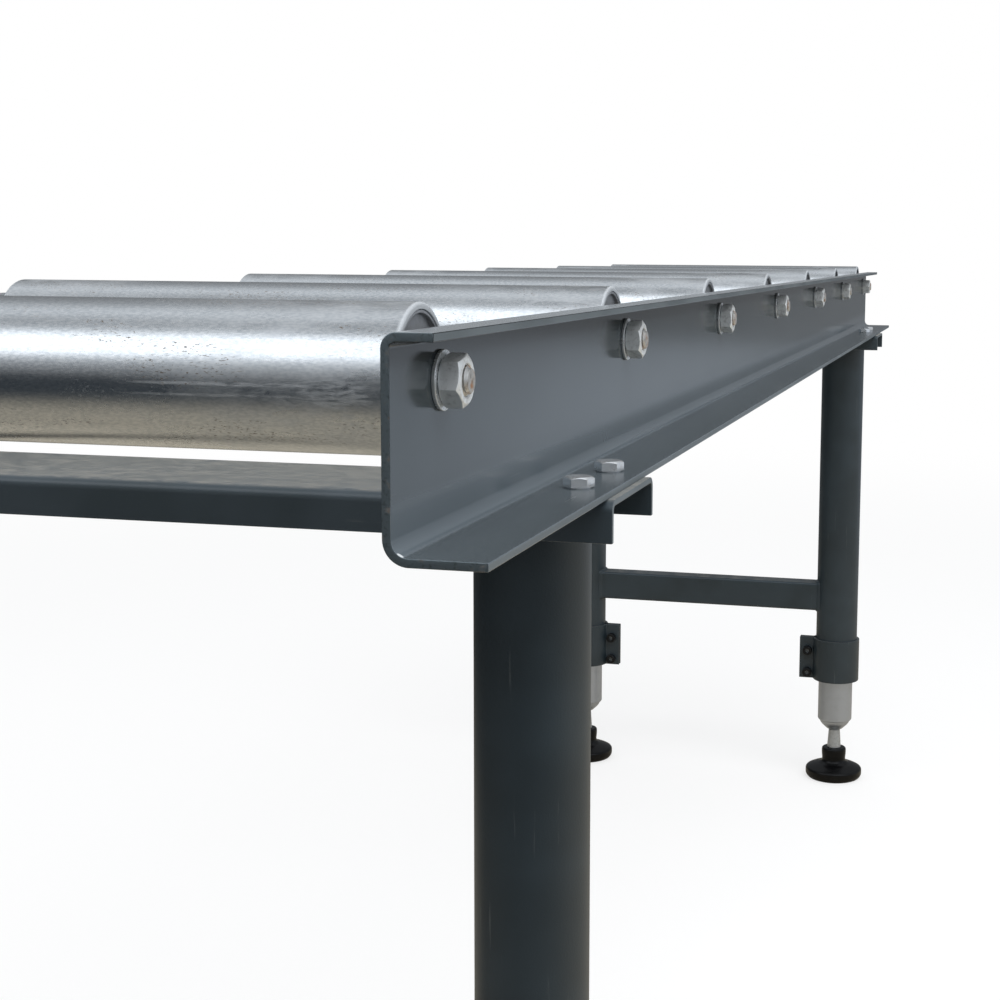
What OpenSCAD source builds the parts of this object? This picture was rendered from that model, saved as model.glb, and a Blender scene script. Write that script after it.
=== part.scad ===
// Roller table: two folded side rails carry free-turning steel rollers and are
// bolted to two trestles, whose telescopic legs stand on levelling feet.
// Millimetres. +X runs along the table, +Y across it and +Z up.
// The origin lies on the floor under the middle of the table.

/* [Table] */
// Length of the side rails
table_l = 2000; // [1400:10:3000]
// Distance between the outer faces of the two rail webs
frame_w = 394; // [300:1:800]
// Height of the roller tops above the floor, as the table stands
work_h = 735; // [700:1:850]

/* [Rollers] */
// Number of rollers
roller_n = 7; // [3:1:10]
// Distance from a rail's end to the first roller's axis
end_offset = 55; // [40:1:120]
// Outside diameter of a roller
roller_od = 60; // [52:1:76]
// Wall of the roller tube
roller_wall = 3; // [2:0.1:4]
// Gap between a roller's end and the rail
roller_gap = 4.5; // [2:0.1:10]
// Radius of the rolled edge at a roller's end
roller_edge_r = 1.4; // [0.5:0.1:1.8]
// Depth of the end cap's disc inside the roller
cap_recess = 2.2; // [1:0.1:6]
// Sheet thickness of the pressed end cap
cap_t = 1.5; // [1:0.1:2]
// Length of the end cap's rim along the roller
cap_rim_l = 14; // [8:0.5:25]
// Hole in the end cap where the axle passes
cap_hole_d = 19; // [17:0.5:24]

/* [Bearings] */
// Outside diameter of a bearing
bearing_od = 35; // [32:0.5:40]
// Width of a bearing
bearing_w = 11; // [8:0.5:14]
// Thickness of the inner ring
inner_ring_t = 3.3; // [2:0.1:4]
// Thickness of the outer ring
outer_ring_t = 3.5; // [2:0.1:4]
// Thickness of the shields that close the ball space
shield_t = 1; // [0.5:0.1:1.5]
// Gap between a shield and the inner ring
shield_gap = 0.3; // [0.1:0.05:0.5]

/* [Axles] */
// Diameter of the axle between the rails
axle_d = 15; // [14:0.5:16]
// Diameter of the threaded ends
stud_d = 12; // [10:0.5:13]
// Length of the threaded end that stands out of the nut
stud_out = 1.6; // [1:0.1:6]
// Chamfer on the stud's end
stud_chamfer = 1.3; // [0.5:0.1:2]
// Play of the threaded end in the rail's hole, on the diameter
axle_hole_play = 1; // [0.4:0.1:1.8]
// Height of the axle above the rail's underside
axle_h = 63; // [58:0.5:68]
// Width of the axle nut across its flats
nut_af = 19; // [18:0.5:22]
// Height of the axle nut
nut_h = 9; // [6:0.1:11]
// Outside diameter of the axle washer
washer_od = 24; // [22:0.5:28]
// Thickness of the axle washer
washer_t = 1.6; // [1:0.1:3]

/* [Side rails] */
// Height of a side rail
rail_h = 84; // [80:0.5:100]
// Sheet thickness of a side rail
rail_t = 3.5; // [2.5:0.1:5]
// Width of the top flange over the web
top_flange = 20; // [16:0.5:30]
// Width of the bottom flange over the web
bottom_flange = 40; // [36:0.5:60]
// Inner radius of the bend at the top
top_bend_r = 2.5; // [1:0.5:5]
// Inner radius of the bend at the bottom
bottom_bend_r = 6.5; // [3:0.5:8]

/* [Rail bolts] */
// Diameter of the rail and clamp bolts
bolt_d = 8; // [6:0.5:9]
// Width of their hexagons across the flats
bolt_af = 13; // [12:0.5:14]
// Height of the bolt head
bolt_head_h = 5.5; // [4:0.1:7]
// Height of the round seat under a rail bolt's hexagon, a part of the head's height
bolt_seat_h = 0.5; // [0.2:0.1:0.8]
// Height of the bolt nut
bolt_nut_h = 6.5; // [5:0.1:8]
// Length of the bolt that stands out of its nut
bolt_out = 3; // [1:0.1:5]
// Play of a bolt in its hole, on the diameter
bolt_hole_play = 0.8; // [0.2:0.1:1.2]
// Distance between the two bolts of one joint, along the rail
rail_bolt_spacing = 60; // [54:1:64]
// Distance of the bolts from the web's outer face
rail_bolt_out = 20; // [16:0.5:26]

/* [Trestles] */
// Distance from a rail's end to the middle of a trestle
trestle_inset = 218.5; // [120:0.5:400]
// Width of the head channel
channel_w = 88; // [84:1:100]
// Height of the head channel
channel_h = 20; // [18:0.5:40]
// Sheet thickness of the head channel
channel_t = 3; // [2.5:0.1:4]
// Inner radius of the head channel's bends
channel_bend_r = 2.5; // [1:0.5:5]
// How far the head channel runs past the rail's flange
channel_overrun = 3; // [0:0.5:20]
// Outside diameter of the outer leg tube
leg_od = 58; // [56:0.5:64]
// Distance of the leg's axis inside the web's outer face
leg_inset = 11; // [0:0.5:40]
// Height of the cross brace
brace_h = 40; // [20:1:60]
// Depth of the cross brace along the table
brace_d = 30; // [15:1:40]
// Wall of the cross brace
brace_wall = 2.5; // [1.5:0.1:4]
// Height of the cross brace's underside above the leg tube's lower end
brace_up = 101; // [80:1:200]

/* [Telescopic tubes] */
// Outside diameter of the inner tube
tube_od = 48.3; // [44:0.1:50]
// Wall of the inner tube
tube_wall = 3; // [2:0.1:4]
// Length of the inner tube
tube_l = 400; // [300:1:410]
// Radial clearance between the inner and the outer tube
tube_clearance = 0.35; // [0.2:0.05:0.6]
// Length of inner tube that shows below the outer tube
tube_show = 60; // [52:1:90]
// Height of the cone that closes the inner tube
cone_h = 13; // [8:0.5:20]
// Diameter of the cone's lower end
cone_end_d = 18; // [17:0.5:30]
// Length of the bush's spigot inside the inner tube
bush_l = 20; // [12:1:30]

/* [Clamp collars] */
// Sheet thickness of the collar and its ears
collar_t = 3.5; // [2.5:0.1:5]
// Height of the collar
collar_h = 60; // [56:1:80]
// Gap between the two ears
collar_gap = 4; // [2:0.5:6]
// How far the ears reach past the collar
ear_reach = 19.5; // [18:0.5:30]
// Distance of the clamp screws from the collar's outer face
screw_out = 8; // [7.5:0.5:9]
// Height of the lower clamp screw above the collar's lower edge
screw_low = 9; // [8:0.5:12]
// Distance between the two clamp screws
screw_spacing = 32; // [20:1:36]
// Diameter of the clamp screw's head
screw_head_d = 13; // [11:0.5:14]
// Width of the hexagon socket across its flats
socket_af = 6; // [4:0.5:7]
// Depth of the hexagon socket
socket_depth = 4; // [2:0.5:5]
// How much shorter than the collar the slot in the leg tube is
slot_short = 8; // [2:1:20]

/* [Levelling feet] */
// Diameter of the foot pad
pad_d = 80; // [60:1:120]
// Height of the foot pad
pad_h = 44; // [42:1:50]
// Height of the pad's rim
pad_rim_h = 15; // [6:0.5:18]
// Height at which the pad's neck begins
neck_z = 24; // [20:0.5:26]
// Diameter of the neck at its foot
neck_waist_d = 32.4; // [30:0.1:36]
// Diameter of the neck at its top
neck_d = 35; // [32:0.5:40]
// Rounding of the pad's edges
pad_round = 2; // [1:0.5:4]
// Diameter of the threaded spindle
spindle_d = 16; // [14:0.5:16]
// Length of the threaded spindle above the ball's centre
spindle_l = 130; // [110:1:160]
// Bare length of spindle between the pad and the cone
spindle_show = 28; // [26:1:60]
// Diameter of the ball at the spindle's foot
ball_d = 20; // [19:0.5:22]
// Height of the ball's centre above the floor
ball_z = 22; // [16:0.5:24]
// Radial play of the ball in its socket
ball_play = 0.3; // [0.1:0.05:0.5]
// Radial running clearance of a spindle in its thread
thread_play = 0.05; // [0.02:0.01:0.1]

/* [Hidden] */
$fn = 64;
// Overrun of every cut past the faces that it opens
cut = 2;
// Diameter of the chamfer circle on a hexagon's face, as a share of the width across the flats
hex_face_share = 0.93;
// Slope of a hexagon's chamfer
hex_chamfer_angle = 30;
// Turns of the bolt heads, as they were left after tightening
rail_bolt_turns = [46, 44, 15, 2, 27, 11, 19, 5];
// Turns of the axle nuts, as they were left after tightening
axle_nut_turns = [-14, 9, 2, 24, 3, -8, 20, 17, -11, 5, 13, -3, 26, 6];
// Length of the lead-in chamfer on bolts and spindles, as a share of their diameter
lead_share = 0.1;

// Sizes that follow from the ones above
rail_z = work_h - roller_od / 2 - axle_h;
web_in = frame_w / 2 - rail_t;
top_bend_out = top_bend_r + rail_t;
bottom_bend_out = bottom_bend_r + rail_t;
roller_pitch = (table_l - 2 * end_offset) / (roller_n - 1);
roller_l = 2 * (web_in - roller_gap);
axle_z = rail_z + axle_h;
axle_hole_d = stud_d + axle_hole_play;
stud_end = frame_w / 2 + washer_t + nut_h + stud_out;
bearing_out = roller_l / 2 - cap_recess - cap_t;
inner_ring_od = axle_d + 2 * inner_ring_t;
bolt_hole_d = bolt_d + bolt_hole_play;
rail_bolt_y = frame_w / 2 + rail_bolt_out;
channel_l = frame_w + 2 * (bottom_flange - rail_t + channel_overrun);
channel_bend_out = channel_bend_r + channel_t;
cone_z = pad_h + spindle_show;
tube_z = cone_z + cone_h;
leg_z = tube_z + tube_show;
leg_top_z = rail_z - channel_t;
leg_id = tube_od + 2 * tube_clearance;
leg_y = frame_w / 2 - leg_inset;
brace_z = leg_z + brace_up;
collar_od = leg_od + 2 * collar_t;
screw_y = collar_od / 2 + screw_out;
screw_x = collar_gap / 2 + collar_t;
screw_heights = [leg_z + screw_low, leg_z + screw_low + screw_spacing];
neck_bore_d = spindle_d + 4 * ball_play;

// Each leg's name, its end of the table and its side
LEGS = [
    ["front_right", -1, -1],
    ["front_left", -1, 1],
    ["rear_right", 1, -1],
    ["rear_left", 1, 1]
];

function roller_x(i) = end_offset - table_l / 2 + (i - 1) * roller_pitch;
function trestle_x(end) = end * (table_l / 2 - trestle_inset);

// Puts its children on the right side as drawn, and mirrored on the left
module on_side(side) {
    if (side > 0) mirror([0, 1, 0]) children();
    else children();
}

// Puts its children, drawn with +Y inboard, at the axis of one leg
module at_leg(end, side) {
    translate([trestle_x(end), side * leg_y, 0]) on_side(side) children();
}

// Cylinder along Y whose middle is at the origin
module across(d, l) {
    rotate([90, 0, 0]) cylinder(d = d, h = l, center = true);
}

// Quarter of a ring, the section of a right-angled sheet bend
module sheet_bend(inner_r, t, turn) {
    rotate(turn) intersection() {
        difference() {
            circle(r = inner_r + t);
            circle(r = inner_r);
        }
        square(inner_r + t);
    }
}

// Hexagon prism standing on z = 0 with chamfered corners on top, and below where asked
module hexagon(af, h, both_ends) {
    corner_r = af / sqrt(3);
    face_r = af * hex_face_share / 2;
    rise = (corner_r - face_r) * tan(hex_chamfer_angle);
    intersection() {
        cylinder(r = corner_r, h = h, $fn = 6);
        rotate_extrude() polygon([
            [0, 0],
            [both_ends ? face_r : corner_r, 0],
            [corner_r, both_ends ? rise : 0],
            [corner_r, h - rise],
            [face_r, h],
            [0, h]
        ]);
    }
}

module hex_nut(af, h, bore) {
    difference() {
        hexagon(af, h, true);
        translate([0, 0, -cut]) cylinder(d = bore, h = h + 2 * cut);
    }
}

// Round bar up from z = 0 with a chamfer at its upper end
module chamfered_bar(d, l, chamfer) {
    cylinder(d = d, h = l - chamfer);
    translate([0, 0, l - chamfer]) cylinder(d1 = d, d2 = d - 2 * chamfer, h = chamfer);
}

// Section of a side rail: x outward from the web's outer face, y up from the underside
module rail_section() {
    translate([-rail_t, bottom_bend_out])
        square([rail_t, rail_h - bottom_bend_out - top_bend_out]);
    translate([bottom_bend_out - rail_t, 0])
        square([bottom_flange - bottom_bend_out, rail_t]);
    translate([top_bend_out - rail_t, rail_h - rail_t])
        square([top_flange - top_bend_out, rail_t]);
    translate([bottom_bend_out - rail_t, bottom_bend_out])
        sheet_bend(bottom_bend_r, rail_t, 180);
    translate([top_bend_out - rail_t, rail_h - top_bend_out])
        sheet_bend(top_bend_r, rail_t, 90);
}

module side_rail(side) {
    color("#5b6268") on_side(-side) difference() {
        translate([-table_l / 2, frame_w / 2, rail_z]) rotate([90, 0, 90])
            linear_extrude(table_l) rail_section();
        for (i = [1:roller_n])
            translate([roller_x(i), web_in, axle_z]) across(axle_hole_d, 2 * (rail_t + cut));
        rail_bolt_holes(1, rail_z - cut, rail_t + 2 * cut);
    }
}

// Cutters for the bolts between one rail and the head channels
module rail_bolt_holes(side, z, h) {
    for (end = [-1, 1], turn = [-1, 1])
        translate([trestle_x(end) + turn * rail_bolt_spacing / 2, side * rail_bolt_y, z])
            cylinder(d = bolt_hole_d, h = h);
}

module roller_axles() {
    color("#a9abaa") for (i = [1:roller_n]) translate([roller_x(i), 0, axle_z]) {
        across(axle_d, 2 * web_in);
        for (side = [-1, 1]) rotate([-90 * side, 0, 0])
            chamfered_bar(stud_d, stud_end, stud_chamfer);
    }
}

// Puts its children, drawn standing on z = 0, on the outer faces of both webs at every axle,
// each in its nut's turn
module at_axle_ends() {
    for (i = [1:roller_n], side = [-1, 1])
        translate([roller_x(i), side * frame_w / 2, axle_z]) rotate([-90 * side, 0, 0])
            rotate(axle_nut_turns[(2 * i - 2 + (side + 1) / 2) % len(axle_nut_turns)]) children();
}

module axle_washers() {
    color("#c9cbca") at_axle_ends() difference() {
        cylinder(d = washer_od, h = washer_t);
        translate([0, 0, -cut]) cylinder(d = stud_d + axle_hole_play, h = washer_t + 2 * cut);
    }
}

module axle_nuts() {
    color("#9a9c9b") at_axle_ends()
        translate([0, 0, washer_t]) rotate(90) hex_nut(nut_af, nut_h, stud_d);
}

// Puts its children, drawn from z = 0 inwards along +z, at the bearing seats of one roller
module at_bearings(i) {
    for (side = [-1, 1]) translate([roller_x(i), side * bearing_out, axle_z])
        rotate([90 * side, 0, 0]) children();
}

module bearing_inner_rings() {
    color("#b9bab8") for (i = [1:roller_n]) at_bearings(i) difference() {
        cylinder(d = inner_ring_od, h = bearing_w);
        translate([0, 0, -cut]) cylinder(d = axle_d, h = bearing_w + 2 * cut);
    }
}

// Outer ring with the two shields that close the ball space
module bearing_outer_rings(i) {
    shield_r = inner_ring_od / 2 + shield_gap;
    race_r = bearing_od / 2 - outer_ring_t;
    color("#b9bab8") at_bearings(i) rotate_extrude() {
        translate([race_r, 0]) square([outer_ring_t, bearing_w]);
        translate([shield_r, 0]) square([race_r + outer_ring_t / 2 - shield_r, shield_t]);
        translate([shield_r, bearing_w - shield_t])
            square([race_r + outer_ring_t / 2 - shield_r, shield_t]);
    }
}

// Pressed cup with its rim in the roller tube and a hub round the bearing
module roller_end_caps(i) {
    rim_r = roller_od / 2 - roller_wall;
    hub_r = bearing_od / 2 + cap_t;
    color("#8d9093") for (side = [-1, 1])
        translate([roller_x(i), side * roller_l / 2, axle_z]) rotate([90 * side, 0, 0])
            rotate_extrude() {
                translate([rim_r - cap_t, 0]) square([cap_t, cap_rim_l]);
                translate([cap_hole_d / 2, cap_recess]) square([rim_r - cap_hole_d / 2, cap_t]);
                translate([bearing_od / 2, cap_recess]) square([cap_t, cap_t + bearing_w]);
            }
}

module roller_tube(i) {
    color("#b4b6b5") translate([roller_x(i), 0, axle_z]) rotate([90, 0, 0]) difference() {
        translate([0, 0, -roller_l / 2]) rotate_extrude() {
            translate([0, roller_edge_r])
                square([roller_od / 2, roller_l - 2 * roller_edge_r]);
            square([roller_od / 2 - roller_edge_r, roller_l]);
            for (y = [roller_edge_r, roller_l - roller_edge_r])
                translate([roller_od / 2 - roller_edge_r, y]) circle(r = roller_edge_r);
        }
        cylinder(d = roller_od - 2 * roller_wall, h = roller_l + 2 * cut, center = true);
    }
}

// Section of the head channel: x along the table, y up to its top face at 0
module channel_section() {
    translate([channel_bend_out - channel_w / 2, -channel_t])
        square([channel_w - 2 * channel_bend_out, channel_t]);
    for (x = [-channel_w / 2, channel_w / 2 - channel_t])
        translate([x, -channel_h]) square([channel_t, channel_h - channel_bend_out]);
    translate([channel_w / 2 - channel_bend_out, -channel_bend_out])
        sheet_bend(channel_bend_r, channel_t, 0);
    translate([channel_bend_out - channel_w / 2, -channel_bend_out])
        sheet_bend(channel_bend_r, channel_t, 90);
}

module head_channel(end) {
    color("#34393c") difference() {
        translate([trestle_x(end), channel_l / 2, rail_z]) rotate([90, 0, 0])
            linear_extrude(channel_l) channel_section();
        for (side = [-1, 1])
            rail_bolt_holes(side, rail_z - channel_t - cut, channel_t + 2 * cut);
    }
}

// Puts its children, drawn from z = 0 up, at every rail bolt, each in its own turn
module at_rail_bolts(z) {
    for (end = [0, 1], side = [0, 1], k = [0, 1])
        translate([
            trestle_x(2 * end - 1) + (k - 1 / 2) * rail_bolt_spacing,
            (2 * side - 1) * rail_bolt_y,
            z
        ]) rotate(rail_bolt_turns[4 * end + 2 * side + k]) children();
}

module rail_bolts() {
    grip = rail_t + channel_t;
    bolt_l = grip + bolt_nut_h + bolt_out;
    color("#d4d7d8") at_rail_bolts(rail_z + rail_t) {
        translate([0, 0, bolt_seat_h]) hexagon(bolt_af, bolt_head_h - bolt_seat_h, false);
        cylinder(d = bolt_af * hex_face_share, h = 2 * bolt_seat_h);
        mirror([0, 0, 1]) chamfered_bar(bolt_d, bolt_l, bolt_d * lead_share);
    }
}

module rail_bolt_nuts() {
    color("#c2c5c6") at_rail_bolts(rail_z - channel_t)
        mirror([0, 0, 1]) hex_nut(bolt_af, bolt_nut_h, bolt_d);
}

// Outer tube, slotted under its collar so that the clamp can squeeze it
module leg_tube(end, side) {
    color("#3a4043") at_leg(end, side) difference() {
        translate([0, 0, leg_z]) cylinder(d = leg_od, h = leg_top_z - leg_z);
        translate([0, 0, leg_z - cut]) cylinder(d = leg_id, h = leg_top_z - leg_z + 2 * cut);
        translate([-collar_gap / 2, 0, leg_z - cut])
            cube([collar_gap, leg_od, collar_h - slot_short + cut]);
    }
}

// Rectangular tube whose ends are coped to the legs
module cross_brace(end) {
    color("#3a4043") translate([trestle_x(end), 0, brace_z]) difference() {
        translate([-brace_d / 2, -leg_y, 0]) cube([brace_d, 2 * leg_y, brace_h]);
        translate([brace_wall - brace_d / 2, -leg_y - cut, brace_wall])
            cube([brace_d - 2 * brace_wall, 2 * (leg_y + cut), brace_h - 2 * brace_wall]);
        for (side = [-1, 1]) translate([0, side * leg_y, -cut])
            cylinder(d = leg_od, h = brace_h + 2 * cut);
    }
}

// Split collar with two ears that point inboard
module clamp_collar(end, side) {
    color("#3a4043") at_leg(end, side) translate([0, 0, leg_z]) difference() {
        union() {
            cylinder(d = collar_od, h = collar_h);
            translate([-screw_x, 0, 0])
                cube([2 * screw_x, collar_od / 2 + ear_reach, collar_h]);
        }
        translate([0, 0, -cut]) cylinder(d = leg_od, h = collar_h + 2 * cut);
        translate([-collar_gap / 2, 0, -cut])
            cube([collar_gap, collar_od + ear_reach, collar_h + 2 * cut]);
        for (z = screw_heights) translate([0, screw_y, z - leg_z])
            rotate([0, 90, 0]) cylinder(d = bolt_hole_d, h = 4 * screw_x, center = true);
    }
}

// Puts its children, drawn with +z along the table, at every clamp screw
module at_clamp_screws(x) {
    for (leg = LEGS, z = screw_heights)
        at_leg(leg[1], leg[2]) translate([x, screw_y, z]) rotate([0, 90, 0]) children();
}

module clamp_screws() {
    screw_l = 2 * screw_x + bolt_nut_h + bolt_out;
    rim = screw_head_d * lead_share / 2;
    color("#1d1f20") at_clamp_screws(-screw_x) {
        chamfered_bar(bolt_d, screw_l, bolt_d * lead_share);
        mirror([0, 0, 1]) difference() {
            chamfered_bar(screw_head_d, bolt_d, rim);
            translate([0, 0, bolt_d - socket_depth])
                cylinder(d = socket_af * 2 / sqrt(3), h = socket_depth + cut, $fn = 6);
        }
    }
}

module clamp_nuts() {
    color("#26292a") at_clamp_screws(screw_x) hex_nut(bolt_af, bolt_nut_h, bolt_d);
}

module inner_tube(end, side) {
    color("#a7aaab") at_leg(end, side) translate([0, 0, tube_z]) difference() {
        cylinder(d = tube_od, h = tube_l);
        translate([0, 0, -cut]) cylinder(d = tube_od - 2 * tube_wall, h = tube_l + 2 * cut);
    }
}

// Cone that closes the inner tube, with a spigot inside it and the thread for the spindle
module threaded_bush(end, side) {
    color("#9c9fa0") at_leg(end, side) difference() {
        union() {
            translate([0, 0, cone_z]) cylinder(d1 = cone_end_d, d2 = tube_od, h = cone_h);
            translate([0, 0, tube_z]) cylinder(d = tube_od - 2 * tube_wall, h = bush_l);
        }
        translate([0, 0, cone_z - cut])
            cylinder(d = spindle_d + 2 * thread_play, h = cone_h + bush_l + 2 * cut);
    }
}

// Moulded pad with a ball socket in its neck
module foot_pad(end, side) {
    pad_r = pad_d / 2;
    neck_r = neck_d / 2;
    bore_r = neck_bore_d / 2;
    color("#17191a") at_leg(end, side) difference() {
        rotate_extrude() polygon([
            [0, 0],
            [pad_r - pad_round, 0],
            [pad_r, pad_round],
            [pad_r, pad_rim_h - pad_round],
            [pad_r - pad_round, pad_rim_h],
            [neck_waist_d / 2 + pad_round, neck_z - pad_round],
            [neck_waist_d / 2, neck_z],
            [neck_r, pad_h - 2 * pad_round],
            [neck_r - pad_round, pad_h],
            [0, pad_h]
        ]);
        translate([0, 0, ball_z]) sphere(d = ball_d + 2 * ball_play);
        translate([0, 0, ball_z]) cylinder(r = bore_r, h = pad_h);
    }
}

module foot_spindle(end, side) {
    color("#a2a5a6") at_leg(end, side) translate([0, 0, ball_z]) {
        chamfered_bar(spindle_d, spindle_l, spindle_d * lead_share);
        sphere(d = ball_d);
    }
}

side_rail(-1);  // side_rail_right
side_rail(1);  // side_rail_left
roller_axles();
axle_washers();
axle_nuts();
bearing_inner_rings();
rail_bolts();
rail_bolt_nuts();
head_channel(-1);  // head_channel_front
head_channel(1);  // head_channel_rear
cross_brace(-1);  // cross_brace_front
cross_brace(1);  // cross_brace_rear
clamp_screws();
clamp_nuts();
for (i = [1:roller_n]) {
    roller_tube(i);
    roller_end_caps(i);
    bearing_outer_rings(i);
}
for (leg = LEGS) {
    leg_tube(leg[1], leg[2]);
    clamp_collar(leg[1], leg[2]);
    inner_tube(leg[1], leg[2]);
    threaded_bush(leg[1], leg[2]);
    foot_pad(leg[1], leg[2]);
    foot_spindle(leg[1], leg[2]);
}
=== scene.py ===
"""The looks of a roller table: folded rails, galvanised rollers, painted trestles and levelling feet.

Sizes inside the classes are in millimetres, on the frame's axes: +X along the table, +Y across it, +Z up.
"""
import logging
import math
from collections.abc import Iterable, Sequence
from dataclasses import dataclass, field
from enum import Enum
from functools import cache, cached_property

import bmesh
import bpy
from bmesh.types import BMEdge, BMesh, BMFace, BMVert
from mathutils import Matrix, Vector


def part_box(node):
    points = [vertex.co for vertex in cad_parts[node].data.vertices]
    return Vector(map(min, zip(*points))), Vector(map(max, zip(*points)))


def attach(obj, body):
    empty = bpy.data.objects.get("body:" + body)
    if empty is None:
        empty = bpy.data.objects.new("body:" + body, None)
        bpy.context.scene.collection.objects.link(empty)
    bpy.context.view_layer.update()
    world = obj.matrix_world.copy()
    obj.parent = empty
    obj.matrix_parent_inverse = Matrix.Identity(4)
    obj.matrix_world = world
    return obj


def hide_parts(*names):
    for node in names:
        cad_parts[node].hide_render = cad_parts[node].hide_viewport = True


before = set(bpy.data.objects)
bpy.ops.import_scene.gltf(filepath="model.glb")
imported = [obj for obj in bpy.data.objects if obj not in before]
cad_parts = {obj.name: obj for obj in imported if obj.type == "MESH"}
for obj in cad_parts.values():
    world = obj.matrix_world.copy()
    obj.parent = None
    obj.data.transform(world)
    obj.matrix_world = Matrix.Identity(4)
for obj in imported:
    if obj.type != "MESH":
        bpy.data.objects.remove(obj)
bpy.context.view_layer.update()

log = logging.getLogger("roller_table")

MM = 0.001
# The least turn of an edge that is shaded as sharp
SHARP_DEGREES = 32.0
# What lies nearer than this, in millimetres, is one place
SAME_PLACE = 1e-4
# How the edges of a forged nut or head are rounded
FORGED = {"width": 0.2, "angle": 24.0}
# The flat end face of a nut, as a share of its flats
NUT_FACE = 0.93
# A thread's depth, where its flanks start and end on one turn, and how far its end is chamfered below the
# root, all as shares of the pitch
THREAD_DEPTH = 0.6
THREAD_RISES = (0.0, 0.38, 0.5, 0.88, 1.0)
THREAD_CHAMFER = 0.2
X, Y, Z = Vector((1, 0, 0)), Vector((0, 1, 0)), Vector((0, 0, 1))

# Across, up, and the length that rounding takes off each side of the corner
Corner = tuple[float, float, float]
Size = tuple[float, float, float]
# Two of a kind, such as where something begins and where it is whole
Edge = tuple[float, float]
Tone = tuple[float, float, float, float]
Socket = bpy.types.NodeSocket
Tree = bpy.types.NodeTree


class Placed(Enum):
    """Where a piece stands."""

    @property
    def label(self) -> str:
        """The word for it in the names of nodes and pieces."""
        return self.name.lower()


class Side(Placed):
    """A side of the table, seen from its front end. The value is the sign of Y."""

    RIGHT = -1
    LEFT = 1


class End(Placed):
    """An end of the table. The value is the sign of X."""

    FRONT = -1
    REAR = 1


@dataclass(frozen=True)
class Span:
    """The room that one node of the frame takes at rest, in millimetres."""

    low: Vector
    high: Vector

    @classmethod
    @cache
    def of(cls, node: str) -> "Span":
        """The span of the node with this name."""
        low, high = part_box(node)
        return cls(low / MM, high / MM)

    @property
    def middle(self) -> Vector:
        """The centre of the span."""
        return (self.low + self.high) / 2

    @property
    def size(self) -> Vector:
        """The lengths of the span along the three axes."""
        return self.high - self.low


def verts_of(items: Iterable) -> list[BMVert]:
    """The vertices among what an operator returned."""
    return [item for item in items if isinstance(item, BMVert)]


def edges_of(items: Iterable) -> list[BMEdge]:
    """The edges among what an operator returned."""
    return [item for item in items if isinstance(item, BMEdge)]


def faces_of(items: Iterable) -> list[BMFace]:
    """The faces among what an operator returned."""
    return [item for item in items if isinstance(item, BMFace)]


def close_up(bm: BMesh) -> BMesh:
    """Merges what lies in one place and turns all faces outwards.

    Args:
        bm: The mesh, in millimetres.

    Returns:
        The same mesh.
    """
    bmesh.ops.remove_doubles(bm, verts=bm.verts, dist=SAME_PLACE)
    bmesh.ops.recalc_face_normals(bm, faces=bm.faces)
    return bm


def break_edges(bm: BMesh, width: float, angle: float = 40.0, segments: int = 2) -> BMesh:
    """Takes the sharpness off every edge that turns by more than an angle.

    Args:
        bm: The mesh, in millimetres.
        width: How far the rounding reaches from the edge.
        angle: The least turn of an edge that is rounded, in degrees.
        segments: The faces that each rounding has across.

    Returns:
        The same mesh.
    """
    bm.normal_update()
    sharp = [edge for edge in bm.edges if edge.calc_face_angle(0) > math.radians(angle)]
    bmesh.ops.bevel(
        bm, geom=sharp, offset=width, offset_type="OFFSET", affect="EDGES",
        segments=segments, profile=0.5, material=-1, clamp_overlap=True,
    )
    return bm


def outline(corners: Sequence[Corner], closed: bool, segments: int = 5) -> BMesh:
    """Draws an outline in the XZ plane and rounds its corners.

    Args:
        corners: The corners in order.
        closed: Whether the last corner joins the first.
        segments: The edges of each rounding.

    Returns:
        A mesh of edges alone.
    """
    bm = bmesh.new()
    verts = [bm.verts.new((across, 0, up)) for across, up, _ in corners]
    for here, there in zip(verts, verts[1:] + verts[:1] if closed else verts[1:]):
        bm.edges.new((here, there))
    for radius in sorted({corner[2] for corner in corners} - {0}):
        picked = [vert for vert, corner in zip(verts, corners) if corner[2] == radius]
        bmesh.ops.bevel(
            bm, geom=picked, offset=radius, offset_type="OFFSET", affect="VERTICES",
            segments=segments, profile=0.5, material=-1,
        )
    return bm


def turned(corners: Sequence[Corner], closed: bool = True, steps: int = 72, segments: int = 5) -> BMesh:
    """A part turned on a lathe: the outline spun about the Z axis.

    Args:
        corners: Radius, height and rounding of each corner.
        closed: Whether the outline closes. One that starts and ends on the axis doesn't.
        steps: The faces round the part.
        segments: The faces across each rounding.

    Returns:
        The closed mesh.
    """
    bm = outline(corners, closed, segments)
    bmesh.ops.spin(
        bm, geom=bm.verts[:] + bm.edges[:], cent=(0, 0, 0), axis=Z, angle=math.tau, steps=steps,
        use_merge=True,
    )
    return close_up(bm)


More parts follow.
